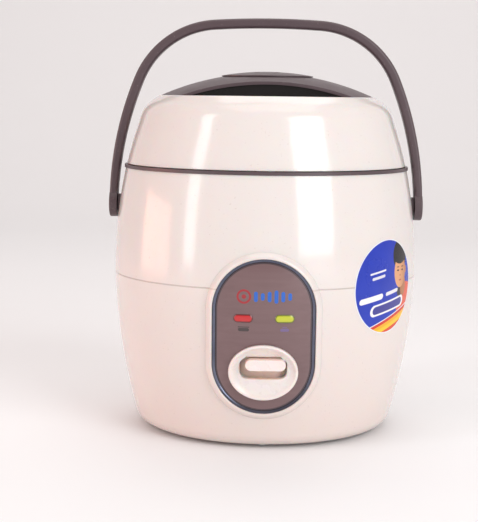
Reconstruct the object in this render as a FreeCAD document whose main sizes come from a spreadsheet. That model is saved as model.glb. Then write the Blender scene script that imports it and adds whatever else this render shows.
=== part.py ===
import FreeCAD, Part
import math
import os
import re
import Sketcher

# A jar rice cooker: barrel-shaped plastic casing in two shells, a rim frame that carries the
# inner pot, a hinged lid with a steam cap, a bail handle, a heater with a magnetic thermostat,
# and a front panel with a cook lever. Millimetres, +Z up, front towards -Y, and the origin on
# the table under the middle of the casing.

SIZES = {
    # pot, frame and casing widths, from the pot outwards
    "pot_radius": 78.5, "pot_wall": 1.5, "pot_flange": 6.9, "pot_lip": 1.6, "pot_corner": 14.0,
    "pot_clearance": 0.6, "frame_wall": 2.5, "land_width": 9.5, "frame_skirt": 2.0,
    "ring_proud": 0.7, "belly_bulge": 6.9, "heel_inset": 15.4, "heel_step": 9.8,
    "base_lip": 9.0, "wall": 2.2, "fit": 0.4,
    # heights, from the table upwards
    "foot_height": 2.0, "under_pot": 58.0, "pot_depth": 115.4, "pot_sink": 5.5,
    "ring_thickness": 2.2, "lower_height": 105.0, "heel_rise": 7.3, "ledge_width": 4.4,
    "ledge_thickness": 2.4, "skirt_depth": 6.0, "seam_bevel": 0.35,
    "heel_arc": 11.0, "lower_arc": 400.0, "upper_arc": 350.0,
    # lid
    "lid_gap": 0.4, "lid_setback": 1.6, "lid_side": 30.0, "lid_lean": 8.6, "lid_side_arc": 250.0,
    "shoulder_run": 5.5, "shoulder_rise": 11.1, "shoulder_arc": 20.0, "slope_run": 8.0,
    "slope_rise": 5.6, "rim_lip": 0.7, "rim_depth": 3.8, "deck_depth": 7.5, "deck": 2.0,
    "dome_rise": 15.9, "dome_wall": 2.0, "mouth_offset": 46.0, "liner_step": 1.9,
    "liner_inset": 1.4, "liner": 2.0, "gasket_width": 6.2, "gasket_gap": 0.3,
    "plate_thickness": 1.0, "tube_radius": 9.0, "tube_wall": 2.0, "vent_radius": 25.9,
    "cap_radius": 31.5, "cap_edge": 0.7, "cap_rise": 2.8, "cap_skirt": 6.0, "cap_gap": 0.3, "boss_radius": 4.0, "screw_radius": 1.5,
    "lid_screw_circle": 60.0, "vent_hole_radius": 2.0, "vent_hole_circle": 14.0,
    # hinge and latch
    "hinge_out": 4.4, "knuckle_radius": 5.5, "knuckle_half": 15.6, "ear_width": 8.0,
    "side_gap": 0.6, "pin_radius": 2.0, "running_gap": 0.05, "latch_slot": 5.5,
    "button_travel": 2.4, "button_thickness": 2.5, "button_gap": 0.4, "latch_half": 6.0,
    "latch_arm": 20.0, "latch_thickness": 2.4, "latch_reach": 15.3, "latch_pin_radius": 1.5,
    "stem_depth": 4.0, "shank": 1.6, "shank_gap": 1.4, "latch_nose": 1.1,
    # bail
    "pivot_drop": 25.7, "eye_radius": 9.5, "eye_thickness": 5.4, "bail_gap": 0.7,
    "bail_thickness": 6.6, "bail_width": 12.0, "bail_headroom": 30.6, "bail_crown_angle": 3.7,
    "bail_arm_angle": 22.23, "bail_shoulder": 63.64, "bail_round": 2.2, "eye_round": 1.2,
    "stub_radius": 4.0, "stub_length": 3.4, "boss_flange": 6.5, "boss_gap": 0.6,
    # heater and thermostat
    "chamber_gap": 1.5, "chamber_wall": 1.0, "plate_height": 12.0, "plate_radius": 64.0,
    "plate_hole": 18.0, "standoff": 1.0, "sleeve_radius": 15.8, "sleeve_wall": 1.6,
    "sensor_thickness": 2.5, "ferrite_height": 7.5, "ferrite_radius": 9.0, "magnet_gap": 3.6,
    "magnet_height": 8.0, "magnet_radius": 8.5, "stem_radius": 2.5, "collar_radius": 5.0,
    "band_height": 30.0, "band_thickness": 1.5, "base_thickness": 1.5,
    # front panel
    "panel_height": 76.4, "bezel_half": 37.2, "bezel_tall": 54.6, "bezel_proud": 3.5,
    "trim_half": 33.0, "trim_tall": 50.8, "trim_proud": 2.2, "face_half": 30.8,
    "face_tall": 48.6, "face_proud": 1.4, "lens_height": 89.0, "lens_offset": 13.2,
    "lens_length": 12.5, "lens_tall": 5.4, "lens_proud": 2.0, "dish_height": 53.8,
    "dish_half": 22.3, "dish_tall": 18.3, "dish_rim": 2.0, "dish_proud": 5.0,
    "dish_floor": 2.6, "slot_height": 56.8, "slot_length": 30.1, "slot_tall": 14.3,
    "key_length": 25.7, "key_tall": 7.3, "key_proud": 9.0, "key_shift": 1.4, "lever_travel": 6.0,
    "slot_round": 0.8,
    "label_azimuth": 51.0, "label_height": 105.5, "label_radius": 31.0,
    "label_thickness": 0.2,
    # cook mechanism, base and inlet
    "arm_pivot": 26.0, "arm_reach": 60.0, "arm_half": 4.0, "arm_thickness": 1.7,
    "mesh_gap": 0.3, "blade_half": 10.5, "seat_depth": 14.0, "foot_depth": 6.0,
    "blade_thickness": 2.0, "foot_radius": 6.5, "foot_circle": 58.0, "inlet_height": 34.0,
    "inlet_half": 15.0, "inlet_tall": 10.0, "inlet_wall": 2.0, "inlet_depth": 21.0,
    "prong_radius": 2.0, "prong_offset": 5.5,
}

# Places worked out from the driving sizes, as expressions for the sheet.
FLANGE_R = "(pot_radius + pot_flange)"
LAND_IN = f"({FLANGE_R} + pot_clearance)"
FRAME_OUT = f"({LAND_IN} + frame_wall)"
RING_R = f"({FRAME_OUT} + land_width)"
TOP_R = f"({RING_R} - ring_proud)"
BELLY_R = f"({TOP_R} + belly_bulge)"
HEEL_R = f"({BELLY_R} - heel_inset)"
BOTTOM_R = f"({HEEL_R} - heel_step)"
LIP_R = f"({BOTTOM_R} - base_lip)"
SKIRT_R = f"({TOP_R} - wall - fit)"
LID_R = f"({RING_R} - lid_setback)"
SHOULDER_R = f"({LID_R} - lid_lean)"
SLOPE_R = f"({SHOULDER_R} - shoulder_run)"
RIM_R = f"({SLOPE_R} - slope_run)"
RIM_IN = f"({RIM_R} - rim_lip)"
DOME_OUT = f"({RIM_IN} - 0.5 * fit)"
CHAMBER_R = "(pot_radius + chamber_gap)"

HEEL_Z = "(foot_height + heel_rise)"
SEAM_Z = "(foot_height + lower_height)"
POT_Z = "(foot_height + under_pot)"
LEDGE_Z = f"({POT_Z} + pot_depth)"
LAND_Z = f"({LEDGE_Z} + pot_sink)"
RING_Z = f"({LAND_Z} - ring_thickness)"
LID_Z = f"({LAND_Z} + lid_gap)"
LINER_Z = f"({LID_Z} + liner_step)"
SHOULDER_Z = f"({LID_Z} + lid_side)"
SLOPE_Z = f"({SHOULDER_Z} + shoulder_rise)"
RIM_Z = f"({SLOPE_Z} + slope_rise)"
DECK_Z = f"({RIM_Z} - deck_depth)"
DOME_Z = f"({RIM_Z} + dome_rise)"
DOME_ARC = f"(({DOME_OUT}^2 + dome_rise^2) / (2 * dome_rise))"
PIVOT_Z = f"({RING_Z} - pivot_drop)"
PLATE_Z = f"({POT_Z} - plate_height)"
CHAMBER_Z = f"({PLATE_Z} - standoff - chamber_wall)"
BASE_Z = "(foot_height + wall)"
HINGE_Y = f"({RING_R} + hinge_out)"
HINGE_Z = f"({LAND_Z} + 0.25 * lid_gap)"
LATCH_Z = f"({LAND_Z} - pot_sink + latch_reach - 0.2)"
ARM_Z = f"({CHAMBER_Z} - 16.3)"
KEY_Z = "(slot_height + (slot_tall - key_tall) / 2 - 0.5)"

doc = FreeCAD.newDocument("rice_cooker")
sheet = doc.addObject("Spreadsheet::Sheet", "Sizes")
for row, (alias, number) in enumerate(SIZES.items(), start=1):
    sheet.set(f"A{row}", alias)
    sheet.set(f"B{row}", str(number))
    sheet.setAlias(f"B{row}", alias)
doc.recompute()
nodes = {}


def linked(text):
    """Name the sheet before every alias of an expression."""
    return re.sub(r"[a-z_]+", lambda word: ("Sizes." if word[0] in SIZES else "") + word[0], text)


def mm(value):
    """The number that an expression or a plain number stands for."""
    return value if isinstance(value, (int, float)) else float(sheet.evalExpression(linked(value)))


def bind(piece, name, value):
    """Set a property, by expression where the value is text."""
    if isinstance(value, str):
        piece.setExpression(name, linked(value))
    elif name.startswith("Placement"):
        piece.setExpression(name, repr(float(value)))
    else:
        setattr(piece, name, value)


def keep(name, piece):
    """Call a finished sub-part by its node name."""
    piece.Label = name
    nodes[name] = piece
    return piece


# ---- building blocks -------------------------------------------------------------------

def sketch_on(body, role, corners):
    """A closed sketch on an origin plane of the body, every corner tied to the sheet.

    A corner is (across, up), or (across, up, radius, side) where the edge that leaves it is an
    arc: side 1 bulges away from material that lies on the left, side -1 hollows it.
    """
    sketch = body.newObject("Sketcher::SketchObject", body.Name + "Sketch")
    plane = next(f for f in body.Origin.OriginFeatures if f.Role == role)
    sketch.AttachmentSupport = [(plane, "")]
    sketch.MapMode = "FlatFace"
    points = [FreeCAD.Vector(mm(c[0]), mm(c[1]), 0) for c in corners]
    starts = []
    ends = []
    for index, corner in enumerate(corners):
        here = points[index]
        there = points[(index + 1) % len(points)]
        if len(corner) == 2:
            edge = sketch.addGeometry(Part.LineSegment(here, there), False)
            starts.append((edge, 1))
            ends.append((edge, 2))
            continue
        radius = mm(corner[2])
        half = (there - here) * 0.5
        left = FreeCAD.Vector(-half.y, half.x, 0).normalize()
        centre = here + half + left * (corner[3] * math.sqrt(radius**2 - half.Length**2))
        first, last = (here, there) if corner[3] > 0 else (there, here)
        angles = [math.atan2(p.y - centre.y, p.x - centre.x) for p in (first, last)]
        circle = Part.Circle(centre, FreeCAD.Vector(0, 0, 1), radius)
        edge = sketch.addGeometry(Part.ArcOfCircle(circle, *angles), False)
        starts.append((edge, 1 if corner[3] > 0 else 2))
        ends.append((edge, 2 if corner[3] > 0 else 1))
        tie = sketch.addConstraint(Sketcher.Constraint("Radius", edge, radius))
        sketch.setExpression(f"Constraints[{tie}]", linked(str(corner[2])))
    for index, corner in enumerate(corners):
        edge, end = starts[index]
        sketch.addConstraint(Sketcher.Constraint("Coincident", *ends[index - 1], edge, end))
        for kind, axis, value in (("DistanceX", -2, corner[0]), ("DistanceY", -1, corner[1])):
            if mm(value) == 0:
                sketch.addConstraint(Sketcher.Constraint("PointOnObject", edge, end, axis))
                continue
            tie = Sketcher.Constraint(kind, -1, 1, edge, end, mm(value))
            sketch.setExpression(f"Constraints[{sketch.addConstraint(tie)}]", linked(str(value)))
    return sketch


def revolved(name, corners):
    """A body turned about Z from corners (radius, height)."""
    body = doc.addObject("PartDesign::Body", name)
    sketch = sketch_on(body, "XZ_Plane", corners)
    turn = body.newObject("PartDesign::Revolution", name + "Turn")
    turn.Profile = sketch
    turn.ReferenceAxis = (sketch, ["V_Axis"])
    turn.Angle = 360
    return body


def profile_bar(name, half, corners):
    """A body whose outline (y, z) runs from -half to half across X."""
    body = doc.addObject("PartDesign::Body", name)
    pad = body.newObject("PartDesign::Pad", name + "Pad")
    pad.Profile = sketch_on(body, "YZ_Plane", corners)
    pad.SideType = "Symmetric"
    pad.setExpression("Length", linked(f"2 * {half}"))
    return body


TURNS = {
    "X": FreeCAD.Rotation(FreeCAD.Vector(0, 1, 0), 90),
    "Y": FreeCAD.Rotation(FreeCAD.Vector(1, 0, 0), -90),
    "-Y": FreeCAD.Rotation(FreeCAD.Vector(1, 0, 0), 90),
    "Z": FreeCAD.Rotation(),
}


def place(piece, at, rotation=None):
    """Put a primitive at (x, y, z), given as numbers or expressions."""
    if rotation:
        piece.Placement = FreeCAD.Placement(FreeCAD.Vector(), rotation)
    for letter, value in zip("xyz", at):
        bind(piece, f"Placement.Base.{letter}", value)
    return piece


def cylinder(name, radius, height, at, axis="Z"):
    piece = doc.addObject("Part::Cylinder", name)
    bind(piece, "Radius", radius)
    bind(piece, "Height", height)
    return place(piece, at, TURNS[axis])


def box(name, low, extent):
    """A box from its low corner."""
    piece = doc.addObject("Part::Box", name)
    for side, value in zip(("Length", "Width", "Height"), extent):
        bind(piece, side, value)
    return place(piece, low)


def fused(name, *pieces):
    piece = doc.addObject("Part::MultiFuse", name)
    piece.Shapes = list(pieces)
    return piece


def cut(name, base, *tools):
    piece = doc.addObject("Part::Cut", name)
    piece.Base = base
    piece.Tool = tools[0] if len(tools) == 1 else fused(name + "Tools", *tools)
    return piece


def common(name, first, second):
    piece = doc.addObject("Part::Common", name)
    piece.Base = first
    piece.Tool = second
    return piece


def capsule(name, half_x, half_z, centre, depth=("-130", "80")):
    """A bar of capsule outline that runs along Y, from depth[0] for depth[1]."""
    x, z = centre
    upright = mm(half_z) > mm(half_x)
    short, long = (half_x, half_z) if upright else (half_z, half_x)
    reach = f"(({long}) - ({short}))"
    offsets = [(0, 1), (0, -1)] if upright else [(1, 0), (-1, 0)]
    ends = [
        cylinder(f"{name}End{index}", short, depth[1],
                 (f"{x} + {dx} * {reach}", depth[0], f"{z} + {dz} * {reach}"), "Y")
        for index, (dx, dz) in enumerate(offsets)
    ]
    width, tall = (short, reach) if upright else (reach, short)
    middle = box(name + "Middle", (f"{x} - {width}", depth[0], f"{z} - {tall}"),
                 (f"2 * {width}", depth[1], f"2 * {tall}"))
    return fused(name, middle, *ends)


def slot_bar(name):
    """A bar along Y with the outline of the cook lever's slot, rounded to suit its key."""
    corner = "(key_tall / 2 + slot_round)"
    reach_x = f"(slot_length / 2 - {corner})"
    reach_z = f"(slot_tall / 2 - {corner})"
    ends = [
        cylinder(f"{name}Corner{index}", corner, 80,
                 (f"{dx} * {reach_x}", -130, f"slot_height + {dz} * {reach_z}"), "Y")
        for index, (dx, dz) in enumerate(((1, 1), (-1, 1), (-1, -1), (1, -1)))
    ]
    level = box(name + "Level", ("-slot_length / 2", -130, f"slot_height - {reach_z}"),
                ("slot_length", 80, f"2 * {reach_z}"))
    upright = box(name + "Upright", (f"-{reach_x}", -130, "slot_height - slot_tall / 2"),
                  (f"2 * {reach_x}", 80, "slot_tall"))
    return fused(name, level, upright, *ends)


def coil(name, radius, wire, height, turns, at):
    """An open coil spring that stands on its axis between two flat seats."""
    pitch = (height - wire) / turns
    path = Part.makeHelix(pitch, height - wire, radius)
    section = Part.Wire(Part.makeCircle(wire / 2, FreeCAD.Vector(radius, 0, 0),
                                        FreeCAD.Vector(0, radius, pitch / (2 * math.pi))))
    piece = doc.addObject("Part::Feature", name)
    piece.Shape = Part.Wire(path).makePipeShell([section], True, True)
    x, y, z = at
    piece.Placement = FreeCAD.Placement(FreeCAD.Vector(x, y, z + wire / 2), FreeCAD.Rotation())
    return piece


def ring_of(name, count, start, circle, make):
    """Pieces at equal angles round Z; make takes a name and the (x, y) expressions."""
    pieces = []
    for index in range(count):
        angle = start + 360 * index / count
        x = f"{circle} * cos({angle} deg)"
        y = f"{circle} * sin({angle} deg)"
        pieces.append(make(f"{name}{index}", x, y))
    return pieces


# ---- casing ----------------------------------------------------------------------------

def casing_band(name, inner, outer):
    """A skin that follows the casing's outside, between two offsets from it."""
    below = f"{SEAM_Z} - seam_bevel"
    above = f"{SEAM_Z} + seam_bevel"
    return revolved(name, [
        (f"{HEEL_R} + {outer}", HEEL_Z, f"lower_arc + {outer}", 1),
        (f"{BELLY_R} + {outer}", below),
        (f"{BELLY_R} + {outer}", above, f"upper_arc + {outer}", 1),
        (f"{TOP_R} + {outer}", RING_Z),
        (f"{TOP_R} + {inner}", RING_Z, f"upper_arc + {inner}", -1),
        (f"{BELLY_R} + {inner}", above),
        (f"{BELLY_R} + {inner}", below, f"lower_arc + {inner}", -1),
        (f"{HEEL_R} + {inner}", HEEL_Z),
    ])


def casing_core(name):
    """Everything inside the casing's outer surface, as a cutting tool."""
    return revolved(name, [
        (0, "foot_height"), (BOTTOM_R, "foot_height", "heel_arc", 1),
        (HEEL_R, HEEL_Z, "lower_arc", 1), (BELLY_R, f"{SEAM_Z} - seam_bevel"),
        (BELLY_R, f"{SEAM_Z} + seam_bevel", "upper_arc", 1), (TOP_R, RING_Z), (0, RING_Z),
    ])


def casing_radius(height):
    """The casing's outer radius at a height, from its two arcs."""
    upper = height > mm(SEAM_Z)
    low, high = (BELLY_R, SEAM_Z), (TOP_R, RING_Z)
    if not upper:
        low, high = (HEEL_R, HEEL_Z), low
    radius = mm("upper_arc" if upper else "lower_arc")
    first = FreeCAD.Vector(mm(low[0]), mm(low[1]), 0)
    half = (FreeCAD.Vector(mm(high[0]), mm(high[1]), 0) - first) * 0.5
    left = FreeCAD.Vector(-half.y, half.x, 0).normalize()
    centre = first + half + left * math.sqrt(radius**2 - half.Length**2)
    return centre.x + math.sqrt(radius**2 - (height - centre.y)**2)


def lower_casing():
    shell = revolved("LowerShell", [
        (LIP_R, "foot_height"), (BOTTOM_R, "foot_height", "heel_arc", 1),
        (HEEL_R, HEEL_Z, "lower_arc", 1),
        (BELLY_R, f"{SEAM_Z} - seam_bevel"), (f"{BELLY_R} - seam_bevel", SEAM_Z),
        (f"{BELLY_R} - wall", SEAM_Z, "lower_arc - wall", -1),
        (f"{HEEL_R} - wall", HEEL_Z, "heel_arc - wall", -1),
        (BOTTOM_R, BASE_Z), (LIP_R, BASE_Z),
    ])
    window = slot_bar("SlotWindow")
    lenses = [lens_bar(f"LensWindow{side}", side) for side in (-1, 1)]
    inlet = box("InletWindow", ("-inlet_half", 60, "inlet_height - inlet_tall"),
                ("2 * inlet_half", 60, "2 * inlet_tall"))
    keep("lower_casing", cut("LowerCasing", shell, window, *lenses, inlet, *base_screw_bars("A")))


def upper_casing():
    keep("upper_casing", revolved("UpperCasing", [
        (f"{BELLY_R} - wall", SEAM_Z), (f"{BELLY_R} - seam_bevel", SEAM_Z),
        (BELLY_R, f"{SEAM_Z} + seam_bevel", "upper_arc", 1), (TOP_R, RING_Z),
        (f"{TOP_R} - wall", RING_Z, "upper_arc - wall", -1),
    ]))


def rim_frame():
    """The dark ring between casing and lid, with the pot's ledge and the hinge ears."""
    ring = revolved("RimRing", [
        (RING_R, RING_Z), (RING_R, LAND_Z), (LAND_IN, LAND_Z), (LAND_IN, LEDGE_Z),
        (f"{LAND_IN} - ledge_width", LEDGE_Z),
        (f"{LAND_IN} - ledge_width", f"{LEDGE_Z} - ledge_thickness"),
        (FRAME_OUT, f"{LEDGE_Z} - ledge_thickness"), (FRAME_OUT, RING_Z),
        (f"{SKIRT_R} - frame_skirt", RING_Z),
        (f"{SKIRT_R} - frame_skirt", f"{RING_Z} - skirt_depth"),
        (SKIRT_R, f"{RING_Z} - skirt_depth"), (SKIRT_R, RING_Z),
    ])
    inner = "knuckle_half + side_gap"
    relief = cylinder("KnuckleRelief", "knuckle_radius + fit", f"2 * ({inner})",
                      (f"-({inner})", HINGE_Y, HINGE_Z), "X")
    slot = box("CatchSlot", ("-latch_half - side_gap", f"-{FRAME_OUT} - latch_slot",
                             f"{LEDGE_Z} - 2 * ledge_thickness"),
               ("2 * (latch_half + side_gap)", "latch_slot", "20"))
    ears = []
    for side, start in ((1, inner), (-1, f"-({inner}) - ear_width")):
        ears.append(cylinder(f"Ear{side}", "knuckle_radius", "ear_width",
                             (start, HINGE_Y, HINGE_Z), "X"))
        ears.append(box(f"EarFoot{side}", (start, f"{RING_R} - 4", RING_Z),
                        ("ear_width", "hinge_out + 4", "ring_thickness")))
    whole = fused("RimWithEars", cut("RimRelieved", ring, relief, slot), *ears)
    keep("rim_frame", cut("RimFrame", whole, hinge_bar("PinBoreA", "pin_radius", 0)))


def hinge_bar(name, radius, beyond):
    """A bar on the hinge axis, as the pin or as its bore."""
    half = f"(knuckle_half + side_gap + ear_width + {beyond})"
    return cylinder(name, radius, f"2 * {half}", (f"-{half}", HINGE_Y, HINGE_Z), "X")


def hinge_pin():
    keep("hinge_pin", hinge_bar("HingePin", "pin_radius", 0.5))


# ---- pot, heater and thermostat --------------------------------------------------------

def inner_pot():
    keep("inner_pot", revolved("InnerPot", [
        (0, POT_Z), ("pot_radius - pot_corner", POT_Z, "pot_corner", 1),
        ("pot_radius", f"{POT_Z} + pot_corner"), ("pot_radius", LEDGE_Z), (FLANGE_R, LEDGE_Z),
        (FLANGE_R, f"{LEDGE_Z} + pot_lip"), ("pot_radius - pot_wall", f"{LEDGE_Z} + pot_lip"),
        ("pot_radius - pot_wall", f"{POT_Z} + pot_corner", "pot_corner - pot_wall", -1),
        ("pot_radius - pot_corner", f"{POT_Z} + pot_wall"), (0, f"{POT_Z} + pot_wall"),
    ]))


def inner_chamber():
    top = f"{LEDGE_Z} - ledge_thickness"
    inner = f"({CHAMBER_R})"
    keep("inner_chamber", revolved("InnerChamber", [
        ("sleeve_radius", CHAMBER_Z), (f"{inner} + chamber_wall", CHAMBER_Z),
        (f"{inner} + chamber_wall", f"{top} - chamber_wall"),
        (f"{FLANGE_R}", f"{top} - chamber_wall"), (f"{FLANGE_R}", top), (inner, top),
        (inner, f"{CHAMBER_Z} + chamber_wall"), ("sleeve_radius", f"{CHAMBER_Z} + chamber_wall"),
    ]))


def heating_plate():
    disc = revolved("PlateDisc", [
        ("plate_hole", PLATE_Z), ("plate_radius", PLATE_Z), ("plate_radius", POT_Z),
        ("plate_hole", POT_Z),
    ])
    studs = ring_of("PlateStud", 3, 30, "0.75 * plate_radius", lambda name, x, y: cylinder(
        name, "boss_radius", "standoff", (x, y, f"{PLATE_Z} - standoff")))
    keep("heating_plate", fused("HeatingPlate", disc, *studs))


def thermostat():
    low = f"({CHAMBER_Z} - 2)"
    inner = "(sleeve_radius - sleeve_wall)"
    keep("thermostat_sleeve", revolved("Sleeve", [
        (f"{inner} - 3", low), ("sleeve_radius", low), ("sleeve_radius", f"{POT_Z} - 3"),
        (inner, f"{POT_Z} - 3"), (inner, f"{low} + sleeve_wall"),
        (f"{inner} - 3", f"{low} + sleeve_wall"),
    ]))
    cap_z = f"({POT_Z} - sensor_thickness)"
    ferrite = cylinder("Ferrite", "ferrite_radius", "ferrite_height",
                       (0, 0, f"{cap_z} - ferrite_height"))
    cap = cylinder("SensorCap", f"{inner} - fit", "sensor_thickness", (0, 0, cap_z))
    keep("thermostat_sensor", fused("Sensor", cap, ferrite))
    floor = mm(f"{low} + sleeve_wall")
    keep("thermostat_spring", coil("SensorSpring", mm(f"{inner} - 1.4"), 1.0,
                                   mm(cap_z) - floor, 4, (0, 0, floor)))
    magnet_z = f"({cap_z} - ferrite_height - magnet_gap - magnet_height)"
    keep("magnet_carrier", fused(
        "MagnetCarrier",
        cylinder("Magnet", "magnet_radius", "magnet_height", (0, 0, magnet_z)),
        cylinder("MagnetStem", "stem_radius", f"{magnet_z} - {ARM_Z} - mesh_gap",
                 (0, 0, f"{ARM_Z} + mesh_gap")),
        cylinder("MagnetCollar", "collar_radius", 1.5, (0, 0, f"{ARM_Z} + mesh_gap")),
    ))


def chamber_fittings():
    outer = f"({CHAMBER_R} + chamber_wall)"
    keep("keep_warm_band", revolved("KeepWarmBand", [
        (outer, f"{POT_Z} + 40"), (f"{outer} + band_thickness", f"{POT_Z} + 40"),
        (f"{outer} + band_thickness", f"{POT_Z} + 40 + band_height"),
        (outer, f"{POT_Z} + 40 + band_height"),
    ]))
    keep("thermal_fuse", fused(
        "ThermalFuse", cylinder("FuseBody", 2.2, 22, (-11, 42, f"{CHAMBER_Z} - 3.2"), "X"),
        box("FuseClip", (-3, 39, f"{CHAMBER_Z} - 6"), (6, 6, 6))))
    legs = ring_of("Leg", 3, 90, "0.88 * (pot_radius + chamber_gap)",
                   lambda name, x, y: cylinder(
                       name, "boss_radius", f"{CHAMBER_Z} - {BASE_Z} - base_thickness",
                       (x, y, f"{BASE_Z} + base_thickness")))
    keep("chamber_legs", fused("ChamberLegs", *legs))


# ---- base and inlet --------------------------------------------------------------------

def base_screw_bars(tag):
    """Shanks of the base screws, as screws or as the holes for them."""
    return ring_of("BaseShank" + tag, 3, 30, f"({LIP_R} + base_lip / 2)",
                   lambda name, x, y: cylinder(name, "screw_radius", 10, (x, y, 0.8)))


def base():
    disc = cylinder("BaseDisc", f"{BOTTOM_R} - 1", "base_thickness", (0, 0, BASE_Z))
    vents = ring_of("BaseVent", 12, 15, "0.5 * pot_radius",
                    lambda name, x, y: cylinder(name, "boss_radius", 20, (x, y, -5)))
    keep("base_plate", cut("BasePlate", disc, *vents, *base_screw_bars("B")))
    heads = ring_of("BaseHead", 3, 30, f"({LIP_R} + base_lip / 2)",
                    lambda name, x, y: cylinder(name, "2 * screw_radius", 1.2, (x, y, 0.8)))
    keep("base_screws", fused("BaseScrews", *heads, *base_screw_bars("C")))
    feet = ring_of("Foot", 4, 45, "foot_circle",
                   lambda name, x, y: cylinder(name, "foot_radius", BASE_Z, (x, y, 0)))
    keep("base_feet", fused("BaseFeet", *feet))


def power_inlet():
    mouth = casing_radius(mm("inlet_height")) + 1.5
    back = f"({mouth} - inlet_depth)"
    low = "inlet_height - inlet_tall"
    housing = box("InletBody", ("-inlet_half", back, low),
                  ("2 * inlet_half", "inlet_depth", "2 * inlet_tall"))
    collar = cut("InletCollar", box(
        "InletFlange", ("-inlet_half - 3", f"{mouth} - 8", f"{low} - 3"),
        ("2 * inlet_half + 6", 8, "2 * inlet_tall + 6")), casing_core("InletCore"))
    socket = box("InletSocket", ("-inlet_half + inlet_wall", f"{back} + 2 * inlet_wall",
                                 f"{low} + inlet_wall"),
                 ("2 * (inlet_half - inlet_wall)", "inlet_depth", "2 * (inlet_tall - inlet_wall)"))
    prongs = {tag: [cylinder(f"Prong{tag}{side}", "prong_radius", 14,
                             (f"{side} * prong_offset", f"{back} - 2", "inlet_height"), "Y")
                    for side in (-1, 1)] for tag in "AB"}
    keep("inlet_housing", cut("InletHousing", fused("InletWhole", housing, collar), socket,
                              *prongs["A"]))
    keep("inlet_pins", fused("InletPins", *prongs["B"]))


# ---- front panel -----------------------------------------------------------------------

def lens_bar(name, side):
    return capsule(name, "lens_length / 2", "lens_tall / 2", (f"{side} * lens_offset", "lens_height"))


def panel_ring(name, band, outer, inner):
    """A capsule frame on the casing: band is its skin, outer and inner its half sizes."""
    solid = common(name + "Solid", casing_band(name + "Band", 0, band),
                   capsule(name + "Outer", *outer, ("0", "panel_height")))
    return cut(name, solid, capsule(name + "Inner", *inner, ("0", "panel_height")))


def dish_bar(name, half_x, half_z):
    """An oval bar along Y round the cook lever."""
    oval = doc.addObject("Part::Ellipse", name + "Oval")
    bind(oval, "MajorRadius", half_x)
    bind(oval, "MinorRadius", half_z)
    place(oval, (0, -130, "dish_height"), TURNS["-Y"])
    bar = doc.addObject("Part::Extrusion", name)
    bar.Base = oval
    bar.DirMode = "Custom"
    bar.Dir = FreeCAD.Vector(0, 1, 0)
    bar.LengthFwd = 80
    bar.Solid = True
    return bar


def front_panel():
    keep("panel_bezel", panel_ring("PanelBezel", "bezel_proud", ("bezel_half", "bezel_tall"),
                                   ("trim_half", "trim_tall")))
    keep("panel_trim", panel_ring("PanelTrim", "trim_proud", ("trim_half", "trim_tall"),
                                  ("face_half", "face_tall")))
    face = common("FaceSolid", casing_band("FaceBand", 0, "face_proud"),
                  capsule("FaceBar", "face_half", "face_tall", ("0", "panel_height")))
    keep("panel_face", cut("PanelFace", face, lens_bar("FaceHoleA", -1), lens_bar("FaceHoleB", 1),
                           slot_bar("FaceSlot")))
    for node, side in (("cook_lens", -1), ("warm_lens", 1)):
        keep(node, common(node.title().replace("_", ""), lens_bar(node + "Bar", side),
                          casing_band(node + "Band", "-wall", "lens_proud")))
    dish = common("DishSolid", casing_band("DishBand", "face_proud", "dish_proud"),
                  dish_bar("DishOuter", "dish_half", "dish_tall"))
    hollow = common("DishHollow", casing_band("HollowBand", "dish_floor", "dish_proud + 2"),
                    dish_bar("DishInner", "dish_half - dish_rim", "dish_tall - dish_rim"))
    keep("switch_bezel", cut("SwitchBezel", dish, hollow, slot_bar("DishSlot")))


def lamps():
    depth = casing_radius(mm("lens_height")) - mm("wall")
    tubes = [cylinder(f"Lamp{side}", 1.8, 8, (f"{side} * lens_offset - 4", -depth + 4.5, "lens_height"),
                      "X") for side in (-1, 1)]
    keep("indicator_lamps", fused("Lamps", *tubes))
    keep("lamp_board", box("LampBoard", (-22, -depth + 6.6, "lens_height - 7"), (44, 1.6, 14)))


def round_label():
    """A printed disc that follows the casing, over the seam and to the right of the panel."""
    angle = mm("label_azimuth")
    out = FreeCAD.Vector(math.sin(math.radians(angle)), -math.cos(math.radians(angle)), 0)
    bar = doc.addObject("Part::Cylinder", "LabelBar")
    bind(bar, "Radius", "label_radius")
    bar.Height = 90
    place(bar, (out.x * 40, out.y * 40, "label_height"),
          FreeCAD.Rotation(FreeCAD.Vector(0, 0, 1), out))
    keep("round_label", common("RoundLabel", bar, casing_band("LabelBand", 0, "label_thickness")))


# ---- cook lever and its arm ------------------------------------------------------------

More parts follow.
